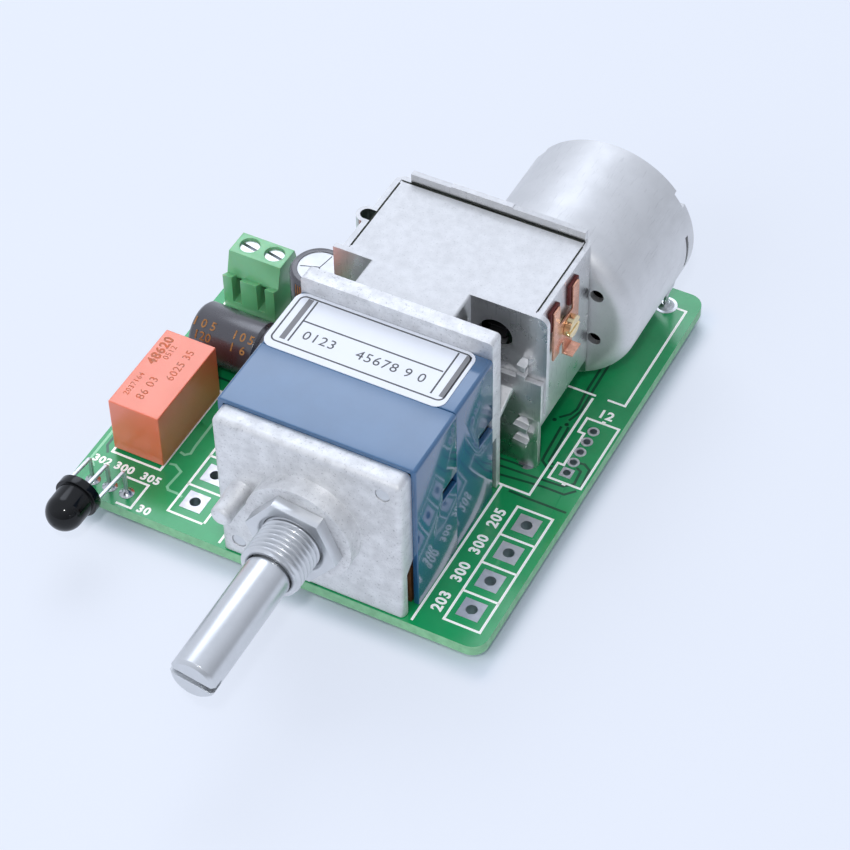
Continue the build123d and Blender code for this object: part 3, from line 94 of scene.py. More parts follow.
class BoardTints(bpy.types.PropertyGroup):
    """Colours of the finishes."""
    mask: tint("Solder mask", "149e5c", "Green lacquer over copper")
    mask_bare: tint("Mask over laminate", "085035", "Green lacquer where the copper is etched away")
    mask_track: tint("Mask over a track", "86c9a0", "Green lacquer standing proud over a copper track")
    laminate: tint("Laminate edge", "87c293", "Cut edge of the glass-fibre laminate, tinged by the lacquer")
    ink: tint("White ink", "fafcfa", "Printed lines and numbers on the board")
    tin: tint("Tin", "dcdde0", "Tinned pads and leads")
    solder: tint("Solder", "c9cccd", "Bright soldered joints")
    zinc: tint("Zinc casting", "eeeeee", "Plates of the control")
    nickel: tint("Nickel plate", "d8dadc", "Shaft, bushing, nut and screws")
    sheet: tint("Plated sheet", "dfdfdf", "Folded steel of the gearbox and the motor's can")
    resin: tint("Blue resin", "285a86", "Moulded cases of the control")
    film: tint("Label film", "dadfe9", "White label")
    film_ink: tint("Label ink", "55565b", "Fine dark print on the label")
    bar_ink: tint("Label bars", "7d7e83", "Grey bars at the ends of the label")
    brown_board: tint("Brown laminate", "6e4526", "Resistor wafers")
    acetal: tint("Black acetal", "151517", "Wheels and rotors")
    copper: tint("Copper alloy", "eab096", "Leaf springs")
    fibre: tint("Red fibre", "5e1a17", "Pads under the leaf springs")
    brass: tint("Brass", "f2dcae", "Adjusting screw and worm")
    ferrite: tint("Ferrite", "2a2a2c", "Magnets and core")
    orange: tint("Orange plastic", "d76436", "Relay case")
    green: tint("Green polyamide", "6db47f", "Terminal block")
    sleeve: tint("Sleeve", "2b282f", "Shrunk sleeve of the capacitors")
    gold_ink: tint("Gold ink", "a8743e", "Numbers on the lying sleeve")
    stripe_ink: tint("Stripe", "e89a48", "Stripe down the upright sleeve")
    relay_ink: tint("Relay ink", "a5674f", "Faded numbers on the relay")
    # Painted shade: the near-black of the strips laid where the gaps beside the gearbox's cover lie in shade
    seam: tint("Seam", "2b2e28", "Dark gap beside the gearbox's cover")
    aluminium: tint("Aluminium", "dfe1e3", "Capacitor cans")
    rubber: tint("Rubber", "17171a", "Bungs")
    epoxy: tint("Black epoxy", "08090b", "Sensor and chip")
    backdrop: tint("Backdrop", "e4ebf9", "Pale floor and surroundings")


class BoardSizes(bpy.types.PropertyGroup):
    """Sizes of the printed and machined detail."""
    ink_width: length("Ink width", 0.33, "Width of a printed white line")
    ink_height: length("Ink height", 0.02, "Thickness of the white ink")
    gap_width: length("Etched gap", 0.36, "Width of the etched lines between the copper areas")
    gap_height: length("Gap height", 0.008, "Height at which the etched lines lie")
    number_height: length("Number height", 1.45, "Height of the printed numbers")
    number_weight: length("Number weight", 0.07, "How far the printed strokes are widened to each side")
    thread_pitch: length("Thread pitch", 0.75, "Pitch of the bushing's thread")
    thread_depth: length("Thread depth", 0.42, "Depth of the bushing's thread")
    worm_pitch: length("Worm pitch", 1.2566, "Pitch of both worms")
    worm_depth: length("Worm depth", 0.8, "Height of a worm's thread")


def tints():
    return bpy.context.scene.board_tints


def sizes():
    return bpy.context.scene.board_sizes


def add(holder, kind, settings=(), **inputs):
    """Adds a shader node with its settings; an input that is a socket is linked, any other is set."""
    node = holder.node_tree.nodes.new("ShaderNode" + kind)
    for name, value in dict(settings).items():
        setattr(node, name, value)
    for name, value in inputs.items():
        socket = node.inputs[name.replace("_", " ")]
        if isinstance(value, bpy.types.NodeSocket):
            holder.node_tree.links.new(value, socket)
        else:
            socket.default_value = value
    return node


def opaque(colour, share=1.0):
    """A colour, darkened to a share of itself, with full opacity."""
    return [*(part * share for part in colour), 1.0]


def surface(name, base, mottle=None, shade=1.0, mottle_mm=4.0, rough=0.4, spread=0.05, grain_mm=0.3,
            depth_mm=0.004, stretch=(1.0, 1.0, 1.0), flecks=0.0, fleck_mm=0.5, **finish):
    """A finish with clouded colour and roughness, dark flecks and a fine grain in relief, all at real scale.

    The clouds are the mottle colour, or the base, darkened to the share that shade gives.
    """
    name += "_finish"
    if name in bpy.data.materials:
        return bpy.data.materials[name]
    made = bpy.data.materials.new(name)
    made.use_nodes = True
    made.node_tree.nodes.clear()
    place = add(made, "TexCoord").outputs["Object"]
    clouds = add(made, "TexNoise", Vector=place, Scale=1 / (mottle_mm * MM), Detail=5.0,
                 Roughness=0.6).outputs["Fac"]
    ramp = add(made, "ValToRGB", Fac=clouds)
    low, high = ramp.color_ramp.elements
    low.position, high.position = 0.36, 0.62
    low.color = opaque(mottle or base, shade)
    high.color = opaque(base)
    sheen = add(made, "MapRange", Value=clouds, From_Min=0.3, From_Max=0.7, To_Min=rough + spread,
                To_Max=rough - spread)
    colour = ramp.outputs["Color"]
    stretched = add(made, "Mapping", Vector=place, Scale=stretch).outputs["Vector"]
    if flecks:
        fleck_shade = 0.25
        spots = add(made, "TexNoise", Vector=stretched, Scale=1 / (fleck_mm * MM), Detail=4.0, Roughness=0.75)
        cover = add(made, "MapRange", Value=spots.outputs["Fac"], From_Min=0.58, From_Max=0.66, To_Max=flecks)
        colour = add(made, "MixRGB", Fac=cover.outputs["Result"], Color1=colour,
                     Color2=opaque(base, fleck_shade)).outputs["Color"]
    grain = add(made, "TexNoise", Vector=stretched, Scale=1 / (grain_mm * MM), Detail=3.0).outputs["Fac"]
    relief = add(made, "Bump", Height=grain, Distance=depth_mm * MM).outputs["Normal"]
    shader = add(made, "BsdfPrincipled", Base_Color=colour, Roughness=sheen.outputs["Result"],
                 Normal=relief, **finish)
    add(made, "OutputMaterial", Surface=shader.outputs["BSDF"])
    return made


def blend(holder, share, first, second):
    """Adds a mix of two shaders and gives its output; the share is the second one's."""
    mix = add(holder, "MixShader", Fac=share)
    holder.node_tree.links.new(first, mix.inputs[1])
    holder.node_tree.links.new(second, mix.inputs[2])
    return mix.outputs["Shader"]


def solder_mask():
    # Green lacquer over etched copper: wet gloss with faint clouding.
    return surface("solder_mask", tints().mask, shade=0.82, mottle_mm=9.0, rough=0.2, grain_mm=0.5,
                   depth_mm=0.002, Specular_IOR_Level=0.75)


def bare_mask():
    # The same lacquer over bare laminate, where no copper lightens it.
    return surface("mask_over_laminate", tints().mask_bare, rough=0.22, Specular_IOR_Level=0.7)


def track_mask():
    # The lacquer climbing over a track: thinner, so the copper lightens it.
    return surface("mask_over_track", tints().mask_track, rough=0.25, Specular_IOR_Level=0.7)


def cut_laminate():
    # Sawn glass-fibre laminate: pale green, dry and faintly layered along the board.
    return surface("cut_glass_laminate", tints().laminate, shade=0.8, mottle_mm=1.2, rough=0.6, spread=0.1,
                   grain_mm=0.15, depth_mm=0.01, stretch=(0.2, 0.2, 3.0))


def white_ink():
    # Screen-printed epoxy ink: flat white with a slight tooth, and a faint painted glow that brightens it as
    # if it were better lit.
    return surface("white_ink", tints().ink, shade=0.93, mottle_mm=0.8, rough=0.5, grain_mm=0.08,
                   depth_mm=0.003, Emission_Color=opaque(tints().ink), Emission_Strength=0.12)


def tinned():
    # Hot-dipped tin on copper: soft grey shine.
    return surface("tinned_copper", tints().tin, shade=0.92, mottle_mm=0.9, rough=0.38, grain_mm=0.2,
                   depth_mm=0.002, Metallic=1.0)


def solder():
    # Cooled solder: brighter and smoother than the tinned leads.
    return surface("solder", tints().solder, shade=0.8, mottle_mm=0.5, rough=0.2, spread=0.06, grain_mm=0.25,
                   depth_mm=0.006, Metallic=1.0)


def zinc_casting():
    # Die-cast zinc, tumbled: satin, with cloudy stains, small dark pits and a fine skin.
    return surface("die_cast_zinc", tints().zinc, shade=0.86, mottle_mm=1.8, rough=0.57, grain_mm=0.2,
                   depth_mm=0.006, flecks=0.4, fleck_mm=0.35, Metallic=0.95)


def nickel():
    # Turned steel under nickel: bright, with fine rings left by the tool.
    return surface("turned_nickel_plate", tints().nickel, shade=0.95, mottle_mm=2.5, rough=0.3, spread=0.02,
                   grain_mm=0.07, depth_mm=0.0015, stretch=(0.05, 1.0, 0.05), Metallic=0.95)


def plated_sheet():
    # Rolled steel sheet under zinc plate: pale, with a spangled, slightly scuffed skin.
    return surface("plated_sheet_steel", tints().sheet, shade=0.95, mottle_mm=1.1, rough=0.6, spread=0.03,
                   depth_mm=0.008, flecks=0.25, fleck_mm=0.25, Metallic=1.0)


def scuffed_wall():
    # The same plate where a tool has rubbed it smooth: it mirrors the board, under upright scratches.
    return surface("scuffed_plate", tints().sheet, shade=0.9, mottle_mm=2.0, rough=0.3, depth_mm=0.008,
                   stretch=(1.0, 1.0, 0.08), flecks=0.25, fleck_mm=0.3, Metallic=1.0)


def drawn_can():
    # Deep-drawn can: the same plate with long streaks along the draw.
    return surface("drawn_plated_steel", tints().sheet, shade=0.95, mottle_mm=3.5, rough=0.54, spread=0.03,
                   grain_mm=0.25, depth_mm=0.005, stretch=(1.0, 0.1, 1.0), flecks=0.12, fleck_mm=0.3,
                   Metallic=1.0)


def blue_resin():
    # Moulded resin: deep blue, with an even, wet gloss.
    return surface("moulded_blue_resin", tints().resin, shade=0.9, mottle_mm=6.0, rough=0.14, spread=0.03,
                   grain_mm=0.8, depth_mm=0.002, Specular_IOR_Level=1.0, Coat_Weight=0.4, Coat_Roughness=0.05)


def label_film():
    # Printed polyester film: white, smooth and barely textured, with a faint painted glow that keeps it
    # evenly bright.
    return surface("label_film", tints().film, shade=0.98, mottle_mm=5.0, rough=0.5, spread=0.03,
                   grain_mm=0.4, depth_mm=0.001, Emission_Color=opaque(tints().film), Emission_Strength=0.05)


def film_ink():
    # Thin dark ink on the film.
    return surface("label_ink", tints().film_ink, rough=0.7, grain_mm=0.1, depth_mm=0.001)


def bar_ink():
    # The same ink laid as a fine grey screen.
    return surface("label_bar_ink", tints().bar_ink, rough=0.7, grain_mm=0.1, depth_mm=0.001)


def brown_laminate():
    # Punched paper laminate: warm brown with fibres.
    return surface("paper_laminate", tints().brown_board, shade=0.7, mottle_mm=0.7, rough=0.5, spread=0.08,
                   grain_mm=0.1, depth_mm=0.01)


def acetal():
    # Moulded acetal: black with a waxy sheen.
    return surface("black_acetal", tints().acetal, rough=0.35, grain_mm=0.2)


def copper_strip():
    # Rolled copper alloy: salmon pink, lightly tarnished.
    return surface("rolled_copper_alloy", tints().copper, shade=0.72, mottle_mm=0.8, rough=0.3, spread=0.08,
                   grain_mm=0.12, stretch=(0.3, 1.0, 1.0), Metallic=0.9)


def red_fibre():
    # Vulcanised fibre: dark red, dry and slightly fuzzy.
    return surface("vulcanised_fibre", tints().fibre, shade=0.7, mottle_mm=0.4, rough=0.6, spread=0.08,
                   grain_mm=0.08, depth_mm=0.01)


def brass():
    # Turned brass: warm yellow with sharp highlights.
    return surface("turned_brass", tints().brass, shade=0.85, mottle_mm=0.8, rough=0.22, grain_mm=0.08,
                   depth_mm=0.003, Metallic=1.0)


def ferrite():
    # Sintered ferrite and stacked steel: dull charcoal.
    return surface("sintered_ferrite", tints().ferrite, shade=0.7, mottle_mm=0.6, rough=0.65, spread=0.08,
                   grain_mm=0.15, depth_mm=0.01)


def orange_case():
    # Moulded polyester: bright orange, and red light seeps through its walls; a faint red glow is painted on
    # as well, which deepens the red of its shaded sides.
    return surface("orange_polyester", tints().orange, shade=0.94, mottle_mm=5.0, rough=0.34, spread=0.04,
                   grain_mm=0.12, depth_mm=0.003, Specular_IOR_Level=1.0, Coat_Weight=1.0, Coat_IOR=1.6,
                   Coat_Roughness=0.35, Subsurface_Weight=0.3, Subsurface_Scale=0.8 * MM,
                   Subsurface_Radius=(1.0, 0.35, 0.15), Emission_Color=(1.0, 0.08, 0.02, 1.0),
                   Emission_Strength=0.05)


def relay_ink():
    # Worn brown print, thin enough for the orange to show through.
    return surface("relay_ink", tints().relay_ink, mottle=tints().orange, shade=0.9, mottle_mm=0.5, rough=0.5,
                   grain_mm=0.1)


def green_case():
    # Moulded polyamide: mid green, waxy, and light seeps into its edges.
    return surface("green_polyamide", tints().green, shade=0.93, rough=0.36, spread=0.04, grain_mm=0.15,
                   depth_mm=0.003, Specular_IOR_Level=1.0, Coat_Weight=0.5, Coat_Roughness=0.3,
                   Subsurface_Weight=0.25, Subsurface_Scale=0.8 * MM)


def sleeve_film():
    # Heat-shrunk vinyl: dark, semi-gloss, drawn tight along the can.
    return surface("shrunk_sleeve", tints().sleeve, shade=0.85, mottle_mm=3.0, rough=0.28, grain_mm=0.6,
                   stretch=(1.0, 1.0, 0.4), Specular_IOR_Level=1.0, Coat_Weight=0.4, Coat_Roughness=0.2)


def gold_ink():
    # Printed ink on the sleeve: dull orange gold.
    return surface("gold_ink", tints().gold_ink, shade=0.6, mottle_mm=0.5, rough=0.5)


def stripe_ink():
    # The broad stripe that marks a capacitor's negative lead: bright gold.
    return surface("stripe_ink", tints().stripe_ink, shade=0.8, mottle_mm=0.5)


def painted_gap_shadow():
    # Painted shade: nearly black strips laid on the cover where the gap beside the folded sheet gets too
    # little light.
    return surface("painted_gap_shadow", tints().seam, rough=0.9, grain_mm=0.2)


def aluminium():
    # Pressed aluminium: pale and soft.
    return surface("pressed_aluminium", tints().aluminium, shade=0.96, mottle_mm=1.5, rough=0.5, spread=0.03,
                   Metallic=0.85)


def rubber():
    # Moulded rubber: dull black.
    return surface("moulded_rubber", tints().rubber, rough=0.7, grain_mm=0.15, depth_mm=0.006)


def epoxy():
    # Transfer-moulded epoxy: nearly black and glassy.
    return surface("black_epoxy", tints().epoxy, rough=0.1, spread=0.03, grain_mm=1.5, depth_mm=0.002,
                   Specular_IOR_Level=0.35)


def merged(node):
    """A copy of a frame node's mesh, its loose triangles joined into whole faces."""
    mesh = bmesh.new()
    mesh.from_mesh(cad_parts[node].data)
    bmesh.ops.remove_doubles(mesh, verts=mesh.verts, dist=0.001 * MM)
    join_faces(mesh)
    return mesh


def join_faces(mesh, least_turn=0.6):
    """Joins neighbouring faces that turn by less than a number of degrees."""
    bmesh.ops.dissolve_limit(mesh, angle_limit=math.radians(least_turn), verts=mesh.verts, edges=mesh.edges)


def round_edges(mesh, width, segments=2, corner=40.0):
    """Rounds the edges that turn by more than corner degrees; width is in millimetres."""
    sharp = [edge for edge in mesh.edges
             if edge.is_manifold and edge.calc_face_angle() > math.radians(corner)]
    bmesh.ops.bevel(mesh, geom=sharp, offset=width * MM, offset_type="OFFSET", segments=segments, profile=0.5,
                    affect="EDGES", material=-1, clamp_overlap=True)


def put(name, mesh, skins, body="base", stands_for=(), crease=38.0):
    """Turns a bmesh into a piece of the object that rides on a body."""
    data = bpy.data.meshes.new(name)
    mesh.to_mesh(data)
    mesh.free()
    for skin in skins:
        data.materials.append(skin)
    data.shade_smooth()
    data.set_sharp_from_angle(angle=math.radians(crease))
    piece = bpy.data.objects.new(name, data)
    bpy.context.scene.collection.objects.link(piece)
    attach(piece, body)
    if stands_for:
        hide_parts(*stands_for)
    return piece


def dress(node, skin, width, segments=2, body="base", crease=21.0, walls=None, corner=40.0, name=None):
    """Replaces a node with a copy that has rounded edges and a finish, or a second one on upright faces."""
    mesh = merged(node)
    round_edges(mesh, width, segments, corner)
    for face in mesh.faces:
        face.material_index = int(walls is not None and abs(face.normal.z) < UPRIGHT)
    skins = [skin, walls] if walls else [skin]
    return put(name or node + "_finished", mesh, skins, body, [node], crease)


def paint(skin, *nodes):
    """Gives a finish to nodes whose own mesh stays."""
    for node in nodes:
        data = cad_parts[node].data
        data.materials.clear()
        data.materials.append(skin)


def wall_line(mesh, points, width, height, base=0.0, closed=False):
    """A flat printed line: a low wall along points of the board, thickened to its width; sizes in metres."""
    verts = [mesh.verts.new(spot(x, y) + Vector((0, 0, base))) for x, y in points]
    pairs = list(zip(verts, verts[1:])) + ([(verts[-1], verts[0])] if closed else [])
    edges = [mesh.edges.new(pair) for pair in pairs]
    raised = bmesh.ops.extrude_edge_only(mesh, edges=edges)["geom"]
    tops = [item for item in raised if isinstance(item, bmesh.types.BMVert)]
    bmesh.ops.translate(mesh, verts=tops, vec=(0, 0, height))
    faces = [item for item in raised if isinstance(item, bmesh.types.BMFace)]
    bmesh.ops.recalc_face_normals(mesh, faces=faces)
    bmesh.ops.solidify(mesh, geom=faces, thickness=width)


def number(mesh, text, matrix, height, thickness, bold=0.0):
    """Adds a plain number, centred at the matrix's origin in its XY plane; bold widens its strokes."""
    height_share = 0.72
    curve = bpy.data.curves.new("number", "FONT")
    curve.body = text
    curve.size = height / height_share
    curve.extrude = thickness / 2
    curve.align_x = "CENTER"
    curve.align_y = "CENTER"
    curve.resolution_u = 3
    curve.offset = bold
    curve.space_character = 1.12
    holder = bpy.data.objects.new("number", curve)
    data = bpy.data.meshes.new_from_object(holder)
    data.transform(matrix)
    mesh.from_mesh(data)
    bpy.data.objects.remove(holder)
    bpy.data.meshes.remove(data)


def facing_up(x, y, z, turn=0.0):
    return Matrix.Translation(spot(x, y, z)) @ Matrix.Rotation(math.radians(turn), 4, "Z")


def spun(profile, centre, axis, steps, mesh=None):
    """A closed turned shape: the profile lists (radius, distance along the axis) in millimetres."""
    mesh = mesh or bmesh.new()
    side = axis.orthogonal().normalized()
    verts = [mesh.verts.new(centre + (axis * along + side * radius) * MM) for radius, along in profile]
    edges = [mesh.edges.new(pair) for pair in zip(verts, verts[1:])]
    bmesh.ops.spin(mesh, geom=verts + edges, cent=centre, axis=axis, angle=2 * math.pi, steps=steps,
                   use_merge=True)
    bmesh.ops.remove_doubles(mesh, verts=mesh.verts, dist=0.0005 * MM)
    bmesh.ops.recalc_face_normals(mesh, faces=mesh.faces)
    return mesh


def around(mesh, centre, axis):
    """Each point with its distance along an axis, its arm across the axis and its angle round it."""
    side = axis.orthogonal().normalized()
    other = axis.cross(side)
    for vert in mesh.verts:
        arm = vert.co - centre
        along = arm.dot(axis)
        across = arm - axis * along
        yield vert, along, across, math.atan2(across.dot(other), across.dot(side))


def thread(mesh, centre, axis, pitch, depth, start, end, least):
    """Cuts a helical groove between two distances along the axis, into what lies outside the least radius."""
    steepness = 1.25
    for vert, along, across, angle in around(mesh, centre, axis):
        if not start < along < end or across.length < least:
            continue
        crest = abs(2 * ((along / pitch - angle / (2 * math.pi)) % 1.0) - 1)
        fade = min(1.0, (along - start) / pitch, (end - along) / pitch)
        vert.co -= across.normalized() * depth * fade * (1 - min(1.0, steepness * crest))


def flatten(mesh, centre, axis, corner):
    """Pulls the outermost wall of a turned shape in to a hexagon with the given corner radius."""
    outermost = 0.99 * corner
    flat_radius = corner * math.cos(math.pi / 6)
    for vert, _, across, angle in around(mesh, centre, axis):
        if across.length > outermost:
            turn = angle % (math.pi / 3) - math.pi / 6
            vert.co += across.normalized() * (flat_radius / math.cos(turn) - across.length)


def rounded(left, front, right, back, radius, steps=6):
    """The points of a rectangle with rounded corners."""
    points = []
    for x, y, start in ((right - radius, back - radius, 0), (left + radius, back - radius, 90),
                        (left + radius, front + radius, 180), (right - radius, front + radius, 270)):
        for i in range(steps + 1):
            angle = math.radians(start + 90 * i / steps)
            points.append((x + radius * math.cos(angle), y + radius * math.sin(angle)))
    return points


def rows(start, end, step):
    """Evenly spaced distances from start to end, no more than step apart."""
    count = math.ceil((end - start) / step)
    return [start + (end - start) * i / count for i in range(count + 1)]


class BOARD_OT_laminate(bpy.types.Operator):
    """Makes the board: green faces, pale sawn edges, etched gaps and vias"""
    bl_idname = "volume_board.laminate"
    bl_label = "Board"

    gap_lines = {
        "front_rail": [(0.8, 25.6), (13.2, 25.6), (13.2, 34.0), (22.0, 34.0)],
        "left_rail": [(1.2, 24.4), (1.2, 8.4), (2.0, 7.2)],
        "motor_run": [(52.6, 51.7), (52.7, 45.7), (53.0, 41.5), (52.6, 40.3), (51.5, 39.1)],
        "motor_run_edge": [(53.3, 52.0), (53.4, 46.0), (53.6, 41.4), (53.2, 40.0), (52.9, 39.2)],
        "middle_run": [(52.5, 37.9), (52.8, 32.3), (52.9, 31.5), (53.7, 30.9), (54.5, 30.9)],
        "middle_run_edge": [(53.4, 38.2), (53.7, 32.4), (53.7, 31.8), (54.4, 31.5)],
        "gearbox_spur": [(47.3, 29.5), (49.9, 29.6), (51.0, 29.5)],
        "header_run": [(47.9, 28.0), (53.7, 28.2), (57.1, 28.4), (58.3, 29.5), (58.1, 32.0), (57.3, 32.4)],
        "header_run_edge": [(48.6, 26.6), (54.7, 27.2), (57.8, 27.2), (59.0, 28.5)],
        "header_end": [(57.1, 33.3), (57.9, 33.4), (59.0, 32.7), (59.3, 29.5)],
        "input_area": [(51.2, 25.0), (54.1, 24.9), (59.3, 24.9)],
        "via_left": rounded(50.7, 38.3, 51.3, 38.9, radius=0.29, steps=3),
        "via_right": rounded(52.5, 38.2, 53.1, 38.8, radius=0.29, steps=3),
    }
    track_lines = {
        "relay_front": [(10.3, 9.09), (11.02, 9.25), (12.11, 8.64), (11.87, 5.71), (12.38, 5.14),
                        (13.65, 5.16), (14.6, 4.92)],
        "relay_side": [(10.4, 11.47), (11.26, 11.27), (11.98, 11.95), (11.85, 13.27), (11.81, 18.5)],
        "board_left": [(0.5, 24.0), (0.5, 5.6), (1.6, 4.4)],
    }

    def execute(self, context):
        dress("circuit_board", solder_mask(), width=0.08, segments=1, crease=38.0,
              walls=cut_laminate(), corner=60.0, name="board_finished")
        for name, lines, skin in (("etched_gaps", self.gap_lines, bare_mask()),
                                  ("raised_tracks", self.track_lines, track_mask())):
            mesh = bmesh.new()
            for points in lines.values():
                wall_line(mesh, points, sizes().gap_width, sizes().gap_height)
            put(name, mesh, [skin])
        return {"FINISHED"}


class BOARD_OT_print(bpy.types.Operator):
    """Prints the white outlines and plain numbers on the board"""
    bl_idname = "volume_board.print"
    bl_label = "White print"

    closed_lines = {
        "header": [(54.53, 29.0), (59.4, 29.0), (59.4, 40.9), (54.53, 40.9), (54.53, 37.9), (55.35, 37.9),
                   (55.35, 32.1), (54.53, 32.1)],
        "relay": [(2.4, 7.6), (9.95, 7.6), (9.95, 23.5), (2.4, 23.5)],
        "terminal": [(1.5, 36.9), (10.4, 36.9), (10.4, 45.2), (1.5, 45.2)],
    }
    open_lines = {
        "motor_side": [(56.7, 64.75), (58.35, 64.75), (58.35, 44.7), (55.7, 44.7)],
        "motor_front": [(54.0, 44.7), (50.0, 44.7)],
        "gearbox": [(54.0, 44.3), (54.0, 25.2), (48.8, 25.2)],
        "control_right": [(50.15, 25.2), (50.15, 0.6)],
        "control_left": [(22.6, 0.6), (22.6, 3.0)],
        "control_left_back": [(22.6, 4.1), (22.6, 25.2)],
        "sensor": [(5.9, 5.0), (10.0, 5.0), (10.0, 0.35), (7.6, 0.35)],
    }
    thin_lines = {
        "header_mark_front": [(56.7, 28.75), (57.2, 28.75), (57.2, 29.25), (56.7, 29.25)],
        "header_mark_back": [(56.7, 40.65), (57.2, 40.65), (57.2, 41.15), (56.7, 41.15)],
    }
    thin_share = 0.7
    # The left edge of the ladder round each row of pads, and how the ladder is spaced
    ladders = {"input_pads": 53.22, "output_pads": 14.05}
    ladder_width, ladder_pitch, ladder_cells, before_pads = 5.25, 5.09, 4, 1.1
    # Each number: its digits, where its middle lies, its turn in degrees and its size against the usual one
    numbers = (
        ("203", 51.9, 4.9, 90.0, 1.0),
        ("300", 51.9, 10.1, 90.0, 1.0),
        ("300", 51.9, 15.1, 90.0, 1.0),
        ("205", 51.9, 20.0, 90.0, 1.0),
        ("302", 2.2, 5.9, 0.0, 0.8),
        ("300", 5.5, 5.95, 0.0, 0.85),
        ("305", 9.5, 5.9, 0.0, 0.85),
        ("30", 11.5, 0.95, 0.0, 0.85),
        ("12", 56.7, 42.2, 0.0, 1.0),
    )

    def execute(self, context):
        mesh = bmesh.new()
        ink = sizes()
        thin = ink.ink_width * self.thin_share
        for points in self.closed_lines.values():
            wall_line(mesh, points, ink.ink_width, ink.ink_height, closed=True)
        for points in [*self.open_lines.values(), *self.ladder_lines()]:
            wall_line(mesh, points, ink.ink_width, ink.ink_height)
        for points in self.thin_lines.values():
            wall_line(mesh, points, thin, ink.ink_height, closed=True)
        lift = ink.ink_height / MM / 2
        for text, x, y, turn, size in self.numbers:
            number(mesh, text, facing_up(x, y, lift, turn), ink.number_height * size, ink.ink_height,
                   ink.number_weight)
        put("board_print", mesh, [white_ink()])
        return {"FINISHED"}

    def ladder_lines(self):
        """The rungs and rails of the ladders round the two rows of pads."""
        lines = []
        for name, left in self.ladders.items():
            front = board_box(name)[0].y - self.before_pads
            right = left + self.ladder_width
            rungs = [front + self.ladder_pitch * i for i in range(self.ladder_cells + 1)]
            lines += [[(left, y), (right, y)] for y in rungs]
            lines += [[(x, rungs[0]), (x, rungs[-1])] for x in (left, right)]
        return lines


class BOARD_OT_pads(bpy.types.Operator):
    """Finishes the pads, leads and soldered joints"""
    bl_idname = "volume_board.pads"
    bl_label = "Pads and solder"

    # Half a sensor lead's width, how far before its end its joint lies, and the joint's radius
    lead_half, lead_setback, lead_joint = 0.25, 0.2, 1.0
    # The radius of a motor pad and of the joint on it
    motor_pad, motor_joint = 1.6, 1.2
    # A joint's profile: a distance from its middle, a share of its radius beyond that, and a height
    fillet = (
        (0.1, 0.0, 0.75),
        (0.3, 0.0, 0.72),
        (0.42, 0.0, 0.5),
        (0.0, 0.62, 0.28),
        (0.0, 0.85, 0.14),
        (0.0, 1.0, 0.052),
        (0.1, 0.0, 0.04),
    )

    def execute(self, context):
        paint(tinned(), "pot_terminals", "relay_pins", "terminal_pins", "capacitor_leads", "motor_leads",
              "input_pads", "output_pads", "connector_pads", "motor_pads")
        paint(solder(), "solder_joints")
        joints = bmesh.new()
        for x, y, radius in self.joint_places():
            profile = [(fixed + share * radius, height) for fixed, share, height in self.fillet]
            spun(profile, spot(x, y), UP, steps=24, mesh=joints)
        put("solder_fillets", joints, [solder()])
        dress("control_chip", epoxy(), width=0.05, segments=1)
        return {"FINISHED"}

    def joint_places(self):
        """Where the joints on the top side lie, and their radii."""
        low, high = board_box("ir_leads")
        first, last = low.x + self.lead_half, high.x - self.lead_half
        places = [(x, high.y - self.lead_setback, self.lead_joint) for x in (first, (first + last) / 2, last)]
        low, high = board_box("motor_pads")
        middle = (low.y + high.y) / 2
        places += [(x, middle, self.motor_joint) for x in (low.x + self.motor_pad, high.x - self.motor_pad)]
        return places


class BOARD_OT_control(bpy.types.Operator):
    """Finishes the rotary control: castings, cases, wafers and rotors"""
    bl_idname = "volume_board.control"
    bl_label = "Rotary control"

    def execute(self, context):
        for plate in ("front_plate", "rear_plate"):
            dress(plate, zinc_casting(), width=0.3, segments=3, crease=38.0)
        dress("tie_rivets", nickel(), width=0.15)
        for case in ("front_case", "rear_case"):
            dress(case, blue_resin(), width=0.14, segments=3)
        paint(brown_laminate(), "front_wafer", "rear_wafer")
        paint(acetal(), "front_rotor", "rear_rotor")
        paint(copper_strip(), "wiper_springs")
        dress("pot_shaft", nickel(), width=0.1, body="control")
        return {"FINISHED"}


